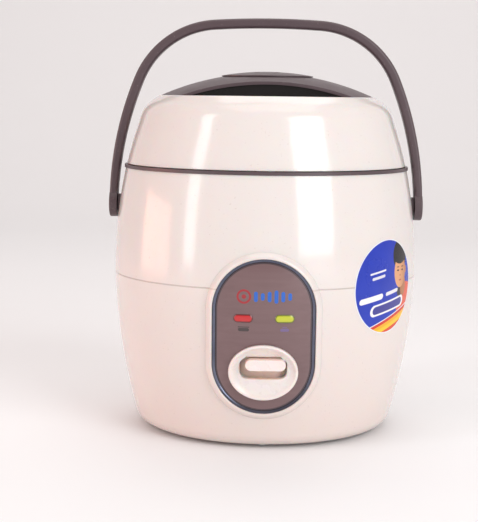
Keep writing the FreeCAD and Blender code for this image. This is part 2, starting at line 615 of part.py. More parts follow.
def cook_lever():
    """Front key, the shutter behind its slot, and the blade down to the arm."""
    front = casing_radius(mm(KEY_Z))
    shutter = casing_radius(mm("slot_height - slot_tall / 2 - lever_travel - 2")) - mm("wall") - 0.9
    blade = casing_radius(mm(f"{ARM_Z} - lever_travel")) - mm("wall") - 2.4
    key = capsule("Key", "key_length / 2", "key_tall / 2", ("key_shift", KEY_Z),
                  (f"-{front} - key_proud", "key_proud + 1"))
    stem = box("KeyStem", (-8, -front, f"{KEY_Z} - 2.2"), (16, front - blade + 1, 4.4))
    skin = revolved("ShutterSkin", [
        (shutter - 1.2, "slot_height - slot_tall / 2 - 2.5"),
        (shutter, "slot_height - slot_tall / 2 - 2.5"),
        (shutter, "slot_height + slot_tall / 2 + lever_travel + 2.5"),
        (shutter - 1.2, "slot_height + slot_tall / 2 + lever_travel + 2.5"),
    ])
    window = box("ShutterSide", ("-slot_length / 2 - 2", -120, 0), ("slot_length + 4", 60, 200))
    foot_z = f"({ARM_Z} + mesh_gap)"
    strip = box("Blade", ("-blade_half", -blade, foot_z),
                ("2 * blade_half", "blade_thickness", f"{KEY_Z} + 2.2 - {foot_z}"))
    foot = box("BladeFoot", ("-blade_half", -blade, foot_z), ("2 * blade_half", "foot_depth", 2))
    seat = box("SpringSeat", ("arm_half + side_gap", -blade, foot_z),
               ("blade_half - arm_half - side_gap", "seat_depth", 2))
    shutter_skin = common("Shutter", skin, window)
    keep("cook_lever", fused("CookLever", key, stem, shutter_skin, strip, foot, seat))
    floor = mm(f"{BASE_Z} + base_thickness")
    spring_at = (mm("(arm_half + side_gap + blade_half) / 2"), mm("seat_depth") - blade - 3, floor)
    keep("lever_spring", coil("LeverSpring", 2.2, 0.8, mm(foot_z) - floor, 8, spring_at))


def switch_arm():
    end = "-(arm_pivot + arm_reach - 0.5)"
    low = f"{ARM_Z} - arm_thickness"
    strip = profile_bar("ArmStrip", "arm_half", [
        (end, low), ("stem_radius + 1", low), ("stem_radius + 1", ARM_Z), (end, ARM_Z)])
    hub = cylinder("ArmHub", 3, "2 * arm_half", ("-arm_half", "-arm_pivot", f"{ARM_Z} - 2.5"), "X")
    bore = cylinder("ArmBore", "screw_radius + running_gap", 40,
                    (-20, "-arm_pivot", f"{ARM_Z} - 2.5"), "X")
    keep("switch_arm", cut("SwitchArm", fused("ArmWhole", strip, hub), bore))
    floor = f"({BASE_Z} + base_thickness)"
    cheeks = [box(f"Cheek{side}", (f"{side} * (arm_half + side_gap) - {1.5 if side < 0 else 0}",
                                   "-arm_pivot - 5", floor), (1.5, 10, f"{ARM_Z} + 2 - {floor}"))
              for side in (-1, 1)]
    sole = box("BracketSole", ("-arm_half - side_gap - 1.5", "-arm_pivot - 5", floor),
               ("2 * (arm_half + side_gap + 1.5)", 10, 1.5))
    pins = [cylinder(f"ArmPin{tag}", "screw_radius", "2 * (arm_half + side_gap + 2)",
                     ("-arm_half - side_gap - 2", "-arm_pivot", f"{ARM_Z} - 2.5"), "X")
            for tag in "AB"]
    keep("switch_bracket", cut("SwitchBracket", fused("BracketWhole", sole, *cheeks), pins[0]))
    keep("arm_pin", pins[1])
    keep("microswitch", box("Microswitch", (10, "-arm_pivot - 30", floor), (8, 20, 12)))


# ---- lid -------------------------------------------------------------------------------

def lid_cover():
    shell = revolved("LidShell", [
        (f"{LID_R} - wall", LID_Z), (LID_R, LID_Z, "lid_side_arc", 1),
        (SHOULDER_R, SHOULDER_Z, "shoulder_arc", 1), (SLOPE_R, SLOPE_Z), (RIM_R, RIM_Z),
        (RIM_IN, RIM_Z), (RIM_IN, DECK_Z), ("tube_radius + fit", DECK_Z),
        ("tube_radius + fit", f"{DECK_Z} - deck"), (f"{RIM_IN} + wall", f"{DECK_Z} - deck"),
        (f"{RIM_IN} + wall", f"{RIM_Z} - rim_depth"),
        (f"{SLOPE_R} - 0.55 * wall", f"{SLOPE_Z} - 0.75 * wall"),
        (f"{SHOULDER_R} - wall", SHOULDER_Z, "lid_side_arc - wall", -1),
    ])
    arm = box("KnuckleArm", ("-knuckle_half", f"{LID_R} - wall + 0.2", f"{LID_Z} + 0.2"),
              ("2 * knuckle_half", "lid_setback + hinge_out + wall - 0.2", 5))
    knuckle = cylinder("Knuckle", "knuckle_radius", "2 * knuckle_half",
                       ("-knuckle_half", HINGE_Y, HINGE_Z), "X")
    bore = hinge_bar("PinBoreB", "pin_radius + running_gap", 0)
    bosses = ring_of("LidBoss", 3, 90, "lid_screw_circle", lambda name, x, y: cylinder(
        name, "boss_radius", f"{DECK_Z} - deck - {LINER_Z} - liner", (x, y, f"{LINER_Z} + liner")))
    stem_slot = box("StemSlot", ("-latch_half - side_gap", stem_front("- side_gap"),
                                 f"{DECK_Z} - deck - 1"),
                    ("2 * (latch_half + side_gap)", "stem_depth + 2 * side_gap", "deck + 2"))
    keep("lid_cover", cut("LidCover", fused("LidWhole", shell, arm, knuckle, *bosses), bore,
                          stem_slot, *lid_screw_bars("A")))


def lid_screw_bars(tag):
    return ring_of("LidShank" + tag, 3, 90, "lid_screw_circle", lambda name, x, y: cylinder(
        name, "screw_radius", 12, (x, y, f"{LINER_Z} - 1")))


def stem_front(extra=""):
    """The front face of the release button's stem."""
    return f"(-{LATCH_Y} + latch_arm - stem_depth + 1.5 {extra})"


LATCH_Y = f"({FRAME_OUT} - 6.5)"


def lid_dome():
    """Domed top cover, open at the front over the finger pocket."""
    inner = f"({DOME_OUT} - dome_wall)"
    base = f"({DOME_Z} - {DOME_ARC})"
    shell = revolved("DomeShell", [
        (inner, DECK_Z), (DOME_OUT, DECK_Z), (DOME_OUT, RIM_Z, DOME_ARC, 1),
        ("vent_radius", f"{base} + sqrt({DOME_ARC}^2 - vent_radius^2)"),
        ("vent_radius", f"{base} + sqrt(({DOME_ARC} - dome_wall)^2 - vent_radius^2)",
         f"{DOME_ARC} - dome_wall", -1),
        (inner, f"{base} + sqrt(({DOME_ARC} - dome_wall)^2 - {inner}^2)"),
    ])
    mouth = box("Mouth", (-120, -200, f"{DECK_Z} - 5"), (240, "200 - mouth_offset", 60))
    keep("lid_dome", cut("LidDome", shell, mouth))


def finger_pocket():
    """Dark back wall of the pocket under the dome's front edge."""
    slab = box("PocketSlab", (-120, "-mouth_offset + 9", DECK_Z), (240, 2, 60))
    room = revolved("PocketRoom", [
        (0, DECK_Z), (f"{DOME_OUT} - dome_wall - 0.1", DECK_Z),
        (f"{DOME_OUT} - dome_wall - 0.1", f"{RIM_Z} - 2", f"{DOME_ARC} - dome_wall - 0.1", 1),
        (0, f"{DOME_Z} - dome_wall - 0.6"),
    ])
    keep("finger_pocket", common("FingerPocket", slab, room))


def release_button():
    disc = cylinder("ButtonDisc", f"{DOME_OUT} - dome_wall - button_gap", "button_thickness",
                    (0, 0, f"{DECK_Z} + button_travel + 0.8"))
    back = box("ButtonBack", (-120, "-mouth_offset + 8.6", 0), (240, 200, 400))
    stem_z = f"({LATCH_Z} + latch_thickness / 2 + mesh_gap)"
    stem = box("ButtonStem", ("-latch_half", stem_front(), stem_z),
               ("2 * latch_half", "stem_depth", f"{DECK_Z} + button_travel + 1 - {stem_z}"))
    keep("release_button", fused("ReleaseButton", cut("ButtonCrescent", disc, back), stem))


def latch():
    """Bell crank under the button: its hook hangs through the frame's slot."""
    shank = f"({FRAME_OUT} + shank_gap)"
    low = f"({LEDGE_Z} - 0.2)"
    half = "latch_thickness / 2"
    tip = f"-{LATCH_Y} + latch_arm"
    crank = profile_bar("LatchCrank", "latch_half", [
        (tip, f"{LATCH_Z} + {half}"), (f"-{LATCH_Y} - 1.5", f"{LATCH_Z} + {half}"),
        (f"-{shank} - shank", f"{LID_Z} + 2.2"), (f"-{shank} - shank", low),
        (f"-{shank} + latch_nose", low), (f"-{shank} + latch_nose", f"{low} + 2"),
        (f"-{shank}", f"{low} + 2"),
        (f"-{shank}", f"{LID_Z} + 1.2"), (f"-{LATCH_Y} + 3", f"{LATCH_Z} - {half}"),
        (tip, f"{LATCH_Z} - {half}"),
    ])
    hub = cylinder("LatchHub", 3, "2 * latch_half", ("-latch_half", f"-{LATCH_Y}", LATCH_Z), "X")
    bore = cylinder("LatchBore", "latch_pin_radius + running_gap", 60,
                    (-30, f"-{LATCH_Y}", LATCH_Z), "X")
    keep("latch_hook", cut("LatchHook", fused("LatchWhole", crank, hub), bore))
    keep("latch_pin", latch_pin_bar("LatchPin"))
    spring_z = mm(f"{LINER_Z} + liner")
    keep("latch_spring", coil("LatchSpring", 2.6, 0.5, mm(f"{LATCH_Z} - {half}") - spring_z, 3,
                              (0, -mm(LATCH_Y) + mm("latch_arm") - 4, spring_z)))


def latch_pin_bar(name):
    return cylinder(name, "latch_pin_radius", "2 * (latch_half + side_gap + 2)",
                    ("-latch_half - side_gap - 2", f"-{LATCH_Y}", LATCH_Z), "X")


def lid_liner():
    """Inner half of the lid, with the latch's ears and slot."""
    outer = f"({LID_R} - wall - fit - liner_inset)"
    plate = revolved("LinerPlate", [
        (f"{outer} - liner", f"{LID_Z} + 0.2"), (outer, f"{LID_Z} + 0.2"),
        (outer, f"{LINER_Z} + liner"), ("tube_radius", f"{LINER_Z} + liner"),
        ("tube_radius", LINER_Z), (f"{outer} - liner", LINER_Z),
    ])
    slot = box("LinerSlot", ("-latch_half - side_gap", "-200", f"{LID_Z} - 1"),
               ("2 * (latch_half + side_gap)", f"200 - {FRAME_OUT} + 5.5", 20))
    ears = [box(f"LinerEar{side}",
                (f"{side} * (latch_half + side_gap) - {1.8 if side < 0 else 0}",
                 f"-{LATCH_Y} - 3", f"{LINER_Z} + liner"),
                (1.8, 6, f"{LATCH_Z} + 3 - {LINER_Z} - liner")) for side in (-1, 1)]
    whole = fused("LinerWhole", cut("LinerSlotted", plate, slot), *ears)
    keep("lid_liner", cut("LidLiner", whole, latch_pin_bar("LinerPinBore"), *lid_screw_bars("B")))
    heads = ring_of("LidHead", 3, 90, "lid_screw_circle", lambda name, x, y: cylinder(
        name, "2 * screw_radius", 1, (x, y, f"{LINER_Z} - 1")))
    keep("lid_screws", fused("LidScrews", *heads, *lid_screw_bars("C")))


def lid_underside():
    plate_z = f"({LINER_Z} - 2.6 - plate_thickness)"
    edge = f"({FLANGE_R} - 0.2 - gasket_width)"
    seal_z = f"({LEDGE_Z} + pot_lip + gasket_gap)"
    plate = revolved("InnerPlate", [
        ("tube_radius", plate_z), (edge, plate_z), (edge, f"{plate_z} + plate_thickness"),
        ("tube_radius", f"{plate_z} + plate_thickness"),
    ])
    holes = ring_of("PlateVent", 8, 22.5, "2.6 * tube_radius", lambda name, x, y: cylinder(
        name, "vent_hole_radius", 10, (x, y, f"{plate_z} - 4")))
    keep("inner_lid_plate", cut("InnerLidPlate", plate, *holes))
    outer = f"({FLANGE_R} - 0.2)"
    keep("lid_gasket", revolved("LidGasket", [
        (edge, f"{plate_z} - 0.6"), (f"{edge} + 2", seal_z), (outer, seal_z), (outer, LINER_Z),
        (f"{outer} - 2.2", LINER_Z), (f"{outer} - 2.2", f"{plate_z} + plate_thickness"),
        (edge, f"{plate_z} + plate_thickness"),
    ]))
    keep("steam_tube", revolved("SteamTube", [
        ("tube_radius - tube_wall", f"{plate_z} - 1.2"), ("tube_radius + 3", f"{plate_z} - 1.2"),
        ("tube_radius + 3", plate_z), ("tube_radius", plate_z),
        ("tube_radius", f"{DECK_Z} + 8"), ("tube_radius - tube_wall", f"{DECK_Z} + 8"),
    ]))


def steam_cap():
    """Lift-off cap that closes the steam well in the middle of the dome."""
    base = f"({DOME_Z} - {DOME_ARC})"
    edge_z = f"({base} + sqrt({DOME_ARC}^2 - cap_radius^2) + cap_gap)"
    seat_z = f"({base} + sqrt({DOME_ARC}^2 - vent_radius^2) + cap_gap)"
    skirt = "(vent_radius - fit)"
    top = f"({edge_z} + cap_edge + cap_rise)"
    body = revolved("CapBody", [
        (f"{skirt} - 2", f"{seat_z} - cap_skirt"), (skirt, f"{seat_z} - cap_skirt"),
        (skirt, seat_z), ("cap_radius", edge_z),
        ("cap_radius", f"{edge_z} + cap_edge", "(cap_radius^2 + cap_rise^2) / (2 * cap_rise)", 1),
        (0, top), (0, f"{top} - 1.8"), (f"{skirt} - 2", f"{seat_z} - 0.5"),
    ])
    holes = ring_of("CapVent", 6, 0, "vent_hole_circle", lambda name, x, y: cylinder(
        name, "vent_hole_radius", 30, (x, y, f"{top} - 15")))
    keep("steam_cap", cut("SteamCap", body, *holes))


# ---- bail ------------------------------------------------------------------------------

def bail_outline(outer_x, inner_x, pivot):
    """Half of the strap seen from the front: edges of its two long lines, from the crown.

    The outer line is three tangent arcs. The crown's and the arm's radii follow from the
    span and the height, and the turn of each arc and the shoulder's radius are sizes.
    """
    first = math.radians(mm("bail_crown_angle"))
    second = math.radians(90 - mm("bail_arm_angle"))
    shoulder = mm("bail_shoulder")
    top = mm(DOME_Z) + mm("bail_headroom") + mm("bail_thickness")
    drop = top - pivot - shoulder * (math.cos(first) - math.cos(second))
    span = outer_x - shoulder * (math.sin(second) - math.sin(first))
    rows = ((math.sin(first), 1 - math.sin(second)), (1 - math.cos(first), math.cos(second)))
    scale = rows[0][0] * rows[1][1] - rows[0][1] * rows[1][0]
    crown = (span * rows[1][1] - drop * rows[0][1]) / scale
    arm = (rows[0][0] * drop - rows[1][0] * span) / scale

    def out(angle, length):
        return FreeCAD.Vector(math.sin(angle), 0, math.cos(angle)) * length

    def arc(centre, radius, start, end):
        return Part.Arc(*(centre + out(a, radius) for a in (start, (start + end) / 2, end))).toShape()

    thickness = mm("bail_thickness")
    crown_at = FreeCAD.Vector(0, 0, top - crown)
    shoulder_at = crown_at + out(first, crown - shoulder)
    arm_at = shoulder_at + out(second, shoulder - arm)
    joint = shoulder_at + out(second, shoulder - thickness)
    inner_arm = (inner_x - joint.x) / (1 - math.sin(second))
    inner_at = joint - out(second, inner_arm)
    low = min(pivot, inner_at.z) - 0.5
    quarter = math.pi / 2
    outer = [arc(crown_at, crown, 0, first), arc(shoulder_at, shoulder, first, second),
             arc(arm_at, arm, second, quarter),
             Part.makeLine(arm_at + out(quarter, arm), FreeCAD.Vector(outer_x, 0, low))]
    inner = [arc(crown_at, crown - thickness, 0, first),
             arc(shoulder_at, shoulder - thickness, first, second),
             arc(inner_at, inner_arm, second, quarter),
             Part.makeLine(inner_at + out(quarter, inner_arm), FreeCAD.Vector(inner_x, 0, low))]
    foot = Part.makeLine(FreeCAD.Vector(outer_x, 0, low), FreeCAD.Vector(inner_x, 0, low))
    return outer, inner, foot


def rounded_eye(side, start, outer_x):
    """The disc at a foot of the bail, its outer edge rounded."""
    disc = cylinder(f"Eye{side}", "eye_radius", "eye_thickness", (start, 0, PIVOT_Z), "X")
    rounded = doc.addObject("Part::Fillet", f"EyeRounded{side}")
    rounded.Base = disc
    doc.recompute()
    edges = [index for index, edge in enumerate(disc.Shape.Edges, start=1)
             if abs(edge.BoundBox.XMin - side * outer_x) < 1e-4 and edge.BoundBox.XLength < 1e-4]
    rounded.Edges = [(index, mm("eye_round"), mm("eye_round")) for index in edges]
    return rounded


def bail():
    pivot = mm(PIVOT_Z)
    inner_x = casing_radius(pivot - mm("eye_radius")) + mm("bail_gap")
    outer_x = inner_x + mm("eye_thickness")
    outer, inner, foot = bail_outline(outer_x, inner_x, pivot)
    half = outer + [foot] + inner
    mirrored = [edge.mirror(FreeCAD.Vector(), FreeCAD.Vector(1, 0, 0)) for edge in half]
    outline = Part.Wire(Part.sortEdges(half + mirrored)[0])
    width = mm("bail_width")
    strap = Part.Face(outline).extrude(FreeCAD.Vector(0, width, 0))
    strap.translate(FreeCAD.Vector(0, -width / 2, 0))
    long_edges = [edge for edge in strap.Edges
                  if edge.BoundBox.YLength < 1e-6 and edge.BoundBox.ZLength > 1e-3]
    strap = strap.makeFillet(mm("bail_round"), long_edges)
    solid = doc.addObject("Part::Feature", "BailStrap")
    solid.Shape = strap
    eyes = []
    bores = []
    for side in (-1, 1):
        start = min(side * inner_x, side * outer_x)
        eyes.append(rounded_eye(side, start, outer_x))
        depth = mm("stub_length") + 0.3
        bores.append(cylinder(f"EyeBore{side}", "stub_radius + running_gap", depth + 5,
                              (inner_x - 5 if side > 0 else -inner_x - depth, 0, PIVOT_Z), "X"))
    keep("bail_handle", cut("BailHandle", fused("BailWhole", solid, *eyes), *bores))
    bosses = []
    for side in (-1, 1):
        reach = inner_x - mm("boss_gap")
        start = reach - 8 if side > 0 else -reach
        bosses.append(cylinder(f"PivotBoss{side}", "boss_flange", 8, (start, 0, PIVOT_Z), "X"))
        stub = (reach - 1 if side > 0 else -inner_x - mm("stub_length"), 0, PIVOT_Z)
        bosses.append(cylinder(f"PivotStub{side}", "stub_radius", "stub_length + boss_gap + 1",
                               stub, "X"))
    keep("bail_pivots", cut("BailPivots", fused("PivotWhole", *bosses), casing_core("PivotCore")))


# ---- build and write -------------------------------------------------------------------

for build in (lower_casing, upper_casing, rim_frame, hinge_pin, inner_pot, inner_chamber,
              heating_plate, thermostat, chamber_fittings, base, power_inlet, front_panel, lamps,
              round_label, cook_lever, switch_arm, lid_cover, lid_dome, finger_pocket,
              release_button, latch, lid_liner, lid_underside, steam_cap, bail):
    build()
doc.recompute()

for piece in doc.Objects:
    if {"Invalid", "Error"} & set(piece.State):
        raise RuntimeError(f"{piece.Name} did not recompute")
os.makedirs("parts", exist_ok=True)
for name, piece in nodes.items():
    if piece.Shape.isNull() or not piece.Shape.isValid() or not piece.Shape.Solids:
        raise RuntimeError(f"{name} is not a valid solid")
    piece.Shape.exportStep(f"parts/{name}.step")
print(len(nodes), "sub-parts written")
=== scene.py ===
import cmath
import math

import bmesh
import bpy
from mathutils import Matrix, Vector


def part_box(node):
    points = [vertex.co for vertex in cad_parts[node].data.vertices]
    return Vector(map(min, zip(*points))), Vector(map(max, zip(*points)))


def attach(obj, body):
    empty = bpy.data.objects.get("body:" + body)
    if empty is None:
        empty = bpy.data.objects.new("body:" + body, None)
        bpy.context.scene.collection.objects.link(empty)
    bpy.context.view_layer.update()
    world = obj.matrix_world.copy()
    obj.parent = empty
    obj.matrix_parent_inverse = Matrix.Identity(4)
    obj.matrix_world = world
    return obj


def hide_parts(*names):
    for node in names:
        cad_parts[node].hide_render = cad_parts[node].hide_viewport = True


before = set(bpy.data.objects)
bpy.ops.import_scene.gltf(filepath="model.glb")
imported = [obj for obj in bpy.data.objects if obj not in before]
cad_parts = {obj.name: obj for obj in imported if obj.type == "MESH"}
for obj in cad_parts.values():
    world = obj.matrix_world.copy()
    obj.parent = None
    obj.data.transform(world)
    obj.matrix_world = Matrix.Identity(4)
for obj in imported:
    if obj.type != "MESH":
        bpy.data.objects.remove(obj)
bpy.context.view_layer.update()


# ---- lower casing ----------------------------------------------------------------------
# A barrel of glossy off-white polypropylene, moulded in one shot: rounded heel, thin wall and
# a fine bevel where the upper casing meets it. Windows for the lever and the inlet are cut in
# the mould.

WALL = 0.0022
HEEL_RISE = 0.0073
HEEL_INSET = 0.0154
HEEL_STEP = 0.0098
BASE_LIP = 0.009
SEAM_BEVEL = 0.00035
HEEL_ARC = 0.011
LOWER_ARC = 0.4
SLOT_HEIGHT = 0.0568
INLET_HEIGHT = 0.034
SLOT_WINDOW = (0.0185, 0.0115)
INLET_WINDOW = (0.0165, 0.0115)

casing_low, casing_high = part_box("lower_casing")
FOOT_Z, SEAM_Z, BELLY_R = casing_low.z, casing_high.z, casing_high.x
HEEL = (BELLY_R - HEEL_INSET, FOOT_Z + HEEL_RISE)
SOLE = (HEEL[0] - HEEL_STEP, FOOT_Z)


class Wire:
    """A socket of a finish in the making; arithmetic on it adds Math nodes."""

    def __init__(self, finish, socket):
        self.finish = finish
        self.socket = socket

    def maths(self, operation, first, second=0.0, clamp=False):
        return self.finish.node("Math", {"operation": operation, "use_clamp": clamp},
                                {0: first, 1: second})

    def __add__(self, other):
        return self.maths("ADD", self, other)

    def __sub__(self, other):
        return self.maths("SUBTRACT", self, other)

    def __rsub__(self, other):
        return self.maths("SUBTRACT", other, self)

    def __mul__(self, other):
        return self.maths("MULTIPLY", self, other)

    def __abs__(self):
        return self.maths("ABSOLUTE", self)

    __radd__ = __add__
    __rmul__ = __mul__

    def under(self, edge, soft):
        """1 below the edge and 0 above it, blended over a soft width."""
        return self.maths("ADD", (edge - self) * (1 / soft), 0.5, clamp=True)

    def over(self, edge, soft):
        return 1 - self.under(edge, soft)


class Finish:
    """A material in the making, on the object coordinates of its piece."""

    def __init__(self, name, plain):
        self.material = bpy.data.materials.new(name)
        self.material.use_nodes = True
        self.tree = self.material.node_tree
        self.shader = self.tree.nodes["Principled BSDF"]
        for socket, value in plain.items():
            self.shader.inputs[socket].default_value = value
        self.place = self.node("TexCoord", output=3)

    def node(self, kind, settings=None, inputs=None, output=0):
        made = self.tree.nodes.new("ShaderNode" + kind)
        for name, value in (settings or {}).items():
            setattr(made, name, value)
        for name, value in (inputs or {}).items():
            if isinstance(value, Wire):
                self.tree.links.new(value.socket, made.inputs[name])
            else:
                made.inputs[name].default_value = value
        return Wire(self, made.outputs[output])

    def feed(self, name, wire):
        self.tree.links.new(wire.socket, self.shader.inputs[name])

    def noise(self, scale, detail=2.0, place=None):
        return self.node("TexNoise", {}, {"Vector": place or self.place, "Scale": scale,
                                          "Detail": detail})

    def stretched(self, scale, turn=(0, 0, 0), shift=(0, 0, 0)):
        """The object coordinates, scaled or turned by a Mapping node."""
        return self.node("Mapping", {}, {"Vector": self.place, "Scale": scale, "Rotation": turn,
                                         "Location": shift})

    def apart(self, place=None):
        """The three coordinates of a place."""
        made = self.node("SeparateXYZ", {}, {"Vector": place or self.place})
        return [Wire(self, socket) for socket in made.socket.node.outputs]

    def tint(self, factor, below, above):
        return self.node("Mix", {"data_type": "RGBA"}, {0: factor, 6: below, 7: above}, 2)

    def relief(self, height, distance, strength=1.0):
        self.feed("Normal", self.node("Bump", {}, {"Height": height, "Distance": distance,
                                                   "Strength": strength}))


def white_plastic():
    """Glossy off-white polypropylene: painted shade that turns the colour darker and pinker
    low down, faint flow marks, fine orange peel, and scuffs where the heel rubs."""
    finish = Finish("white_plastic", {"Coat Weight": 0.35, "Coat Roughness": 0.04, "IOR": 1.49,
                                      "Subsurface Weight": 0.25, "Subsurface Scale": 0.003})
    height = finish.apart()[2]
    flow = finish.noise(14, 3, finish.stretched((1, 1, 0.35)))
    body = finish.tint(flow, (0.735, 0.690, 0.662, 1), (0.775, 0.735, 0.708, 1))
    # painted shade: the colour turns darker and pinker towards the bottom, in place of the shade
    # low on the body
    body = finish.tint(height.under(0.060, 0.16) * 0.65, body, (0.745, 0.600, 0.545, 1))
    speck = finish.noise(700, 2).over(0.71, 0.03)
    body = finish.tint(speck * 0.25, body, (0.45, 0.36, 0.32, 1))
    seam = abs(height - SEAM_Z).under(0.0005, 0.0006)
    body = finish.tint(seam * 0.35, body, (0.42, 0.30, 0.27, 1))
    finish.feed("Base Color", body)
    scuff = finish.noise(160, 5).over(0.60, 0.10)
    smear = finish.noise(28, 4)
    finish.feed("Roughness", 0.12 + smear * 0.07 + scuff * height.under(0.010, 0.010) * 0.10)
    finish.relief(finish.noise(210, 3), 0.00006, 0.35)
    return finish.material


def arc_centre(first, last, radius):
    """Centre of the arc from first to last that bulges away from the axis."""
    first, last = Vector(first), Vector(last)
    half = (last - first) / 2
    inward = Vector((-half.y, half.x)).normalized()
    return first + half + inward * math.sqrt(radius ** 2 - half.length_squared)


def arc(first, last, radius, steps=16):
    """Points (radius, height) of an arc that bulges away from the axis, ends included."""
    centre = arc_centre(first, last, radius)
    start, end = (math.atan2(p[1] - centre.y, p[0] - centre.x) for p in (first, last))
    angles = [start + (end - start) * step / steps for step in range(steps + 1)]
    return [(centre.x + radius * math.cos(a), centre.y + radius * math.sin(a)) for a in angles]


def turned(profile, steps=256):
    """A closed bmesh turned about the upright axis from a loop of (radius, height) points."""
    bm = bmesh.new()
    line = [bm.verts.new((0, -radius, height)) for radius, height in profile]
    edges = [bm.edges.new(pair) for pair in zip(line, line[1:] + line[:1])]
    bmesh.ops.spin(bm, geom=line + edges, cent=(0, 0, 0), axis=(0, 0, 1), angle=math.tau,
                   steps=steps, use_merge=True)
    bmesh.ops.remove_doubles(bm, verts=bm.verts, dist=1e-6)
    return bm


def opened(bm, front, centre, half):
    """Cut an oval window (x, z) through both skins of a shell, in front (-1) or behind (1)."""
    inside = []
    for face in bm.faces:
        middle = face.calc_center_median()
        away = ((middle.x - centre[0]) / half[0]) ** 2 + ((middle.z - centre[1]) / half[1]) ** 2
        if away < 1 and middle.y * front > 0:
            inside.append(face)
    bmesh.ops.delete(bm, geom=inside, context="FACES")
    rims = [edge for edge in bm.edges if edge.is_boundary]
    bmesh.ops.bridge_loops(bm, edges=rims)


def finished(name, bm, body, material, replaced=(), crease=32, even=False):
    """Make a piece of a bmesh, smooth but for its sharp edges, and fix it to its body."""
    bmesh.ops.recalc_face_normals(bm, faces=bm.faces)
    for face in bm.faces:
        face.smooth = True
    for edge in bm.edges:
        edge.smooth = edge.calc_face_angle(0) < math.radians(crease)
    mesh = bpy.data.meshes.new(name)
    bm.to_mesh(mesh)
    bm.free()
    mesh.materials.append(material)
    piece = bpy.data.objects.new(name, mesh)
    bpy.context.scene.collection.objects.link(piece)
    if even:
        weighing = piece.modifiers.new("even", "WEIGHTED_NORMAL")
        weighing.keep_sharp = True
    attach(piece, body)
    if replaced:
        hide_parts(*replaced)
    return piece


WHITE = white_plastic()
LOWER_LINE = arc(HEEL, (BELLY_R, SEAM_Z - SEAM_BEVEL), LOWER_ARC, 44)
outside = [(SOLE[0] - BASE_LIP, FOOT_Z)] + arc(SOLE, HEEL, HEEL_ARC, 12)[:-1] + LOWER_LINE
inside_heel = arc((SOLE[0], FOOT_Z + WALL), (HEEL[0] - WALL, HEEL[1]), HEEL_ARC - WALL, 12)
inside_wall = arc((HEEL[0] - WALL, HEEL[1]), (BELLY_R - WALL, SEAM_Z), LOWER_ARC - WALL, 44)
inside = [(SOLE[0] - BASE_LIP, FOOT_Z + WALL)] + inside_heel[:-1] + inside_wall
lower = turned(outside + [(BELLY_R - SEAM_BEVEL, SEAM_Z)] + inside[::-1])
opened(lower, -1, (0, SLOT_HEIGHT), SLOT_WINDOW)
opened(lower, 1, (0, INLET_HEIGHT), INLET_WINDOW)
finished("casing_lower", lower, "cooker", WHITE, ["lower_casing"])


# ---- upper casing ----------------------------------------------------------------------
# The upper shell drops over the lower one and leans in towards the rim frame. It is the same
# glossy plastic, with the same bevel at the seam.

UPPER_ARC = 0.35
RING_PROUD = 0.0007

RING_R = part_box("rim_frame")[1].x
RING_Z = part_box("upper_casing")[1].z
TOP_R = RING_R - RING_PROUD

UPPER_LINE = arc((BELLY_R, SEAM_Z + SEAM_BEVEL), (TOP_R, RING_Z), UPPER_ARC, 40)
within = arc((BELLY_R - WALL, SEAM_Z), (TOP_R - WALL, RING_Z), UPPER_ARC - WALL, 40)
upper = turned([(BELLY_R - SEAM_BEVEL, SEAM_Z)] + UPPER_LINE + within[::-1])
finished("casing_upper", upper, "cooker", WHITE, ["upper_casing"])


# ---- rim frame, hinge and bail pivots --------------------------------------------------
# A dark taupe ring, satin from its spark-eroded mould, that carries the pot and the lid. Its
# ears hold the plated hinge pin at the back, and pressed-in stubs at the sides carry the bail.

def taupe_plastic():
    """Satin taupe: an even mould grain, slightly mottled, polished where hands rub it."""
    finish = Finish("taupe_plastic", {"IOR": 1.47, "Coat Weight": 0.08, "Coat Roughness": 0.25})
    mottle = finish.noise(24, 4)
    body = finish.tint(mottle, (0.074, 0.050, 0.057, 1), (0.096, 0.066, 0.074, 1))
    dust = finish.noise(520, 3).over(0.68, 0.06)
    finish.feed("Base Color", finish.tint(dust * 0.25, body, (0.27, 0.22, 0.22, 1)))
    finish.feed("Roughness", 0.34 + finish.noise(60, 3) * 0.14)
    finish.relief(finish.noise(1500, 2), 0.00004, 0.5)
    return finish.material


def plated_steel():
    """Zinc-plated steel, fine drawn lines and a bluish-grey cloud."""
    finish = Finish("plated_steel", {"Metallic": 1.0})
    cloud = finish.noise(90, 4)
    finish.feed("Base Color", finish.tint(cloud, (0.50, 0.51, 0.53, 1), (0.72, 0.72, 0.70, 1)))
    drawn = finish.noise(900, 2, finish.stretched((0.05, 1, 1)))
    finish.feed("Roughness", 0.22 + drawn * 0.2)
    finish.relief(drawn, 0.00002, 0.4)
    return finish.material


def copied(node, soften=0.0):
    """A merged copy of a CAD node's skin, its flat faces whole and its hard edges softened."""
    bm = bmesh.new()
    bm.from_mesh(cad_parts[node].data)
    bmesh.ops.remove_doubles(bm, verts=bm.verts, dist=1e-6)
    bmesh.ops.dissolve_limit(bm, angle_limit=math.radians(0.2), verts=bm.verts, edges=bm.edges)
    if soften:
        sharp = [edge for edge in bm.edges if edge.calc_face_angle(0) > math.radians(50)]
        bmesh.ops.bevel(bm, geom=sharp, offset=soften, segments=2, profile=0.5,
                        affect="EDGES", clamp_overlap=True, material=-1)
    return bm


def painted(material, *names):
    """Give CAD nodes their finish."""
    for name in names:
        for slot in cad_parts[name].material_slots:
            slot.material = material


TAUPE = taupe_plastic()
STEEL = plated_steel()
finished("frame_ring", copied("rim_frame", 0.0002), "cooker", TAUPE, ["rim_frame"],
         even=True)
finished("pivot_stubs", copied("bail_pivots"), "cooker", TAUPE, ["bail_pivots"],
         even=True)
painted(STEEL, "hinge_pin")


# ---- bail ------------------------------------------------------------------------------
# One stiff taupe moulding, a flat strap with rounded edges that arches over the lid and ends
# in round eyes on the stubs.

finished("bail_strap", copied("bail_handle"), "bail", TAUPE, ["bail_handle"],
         even=True)


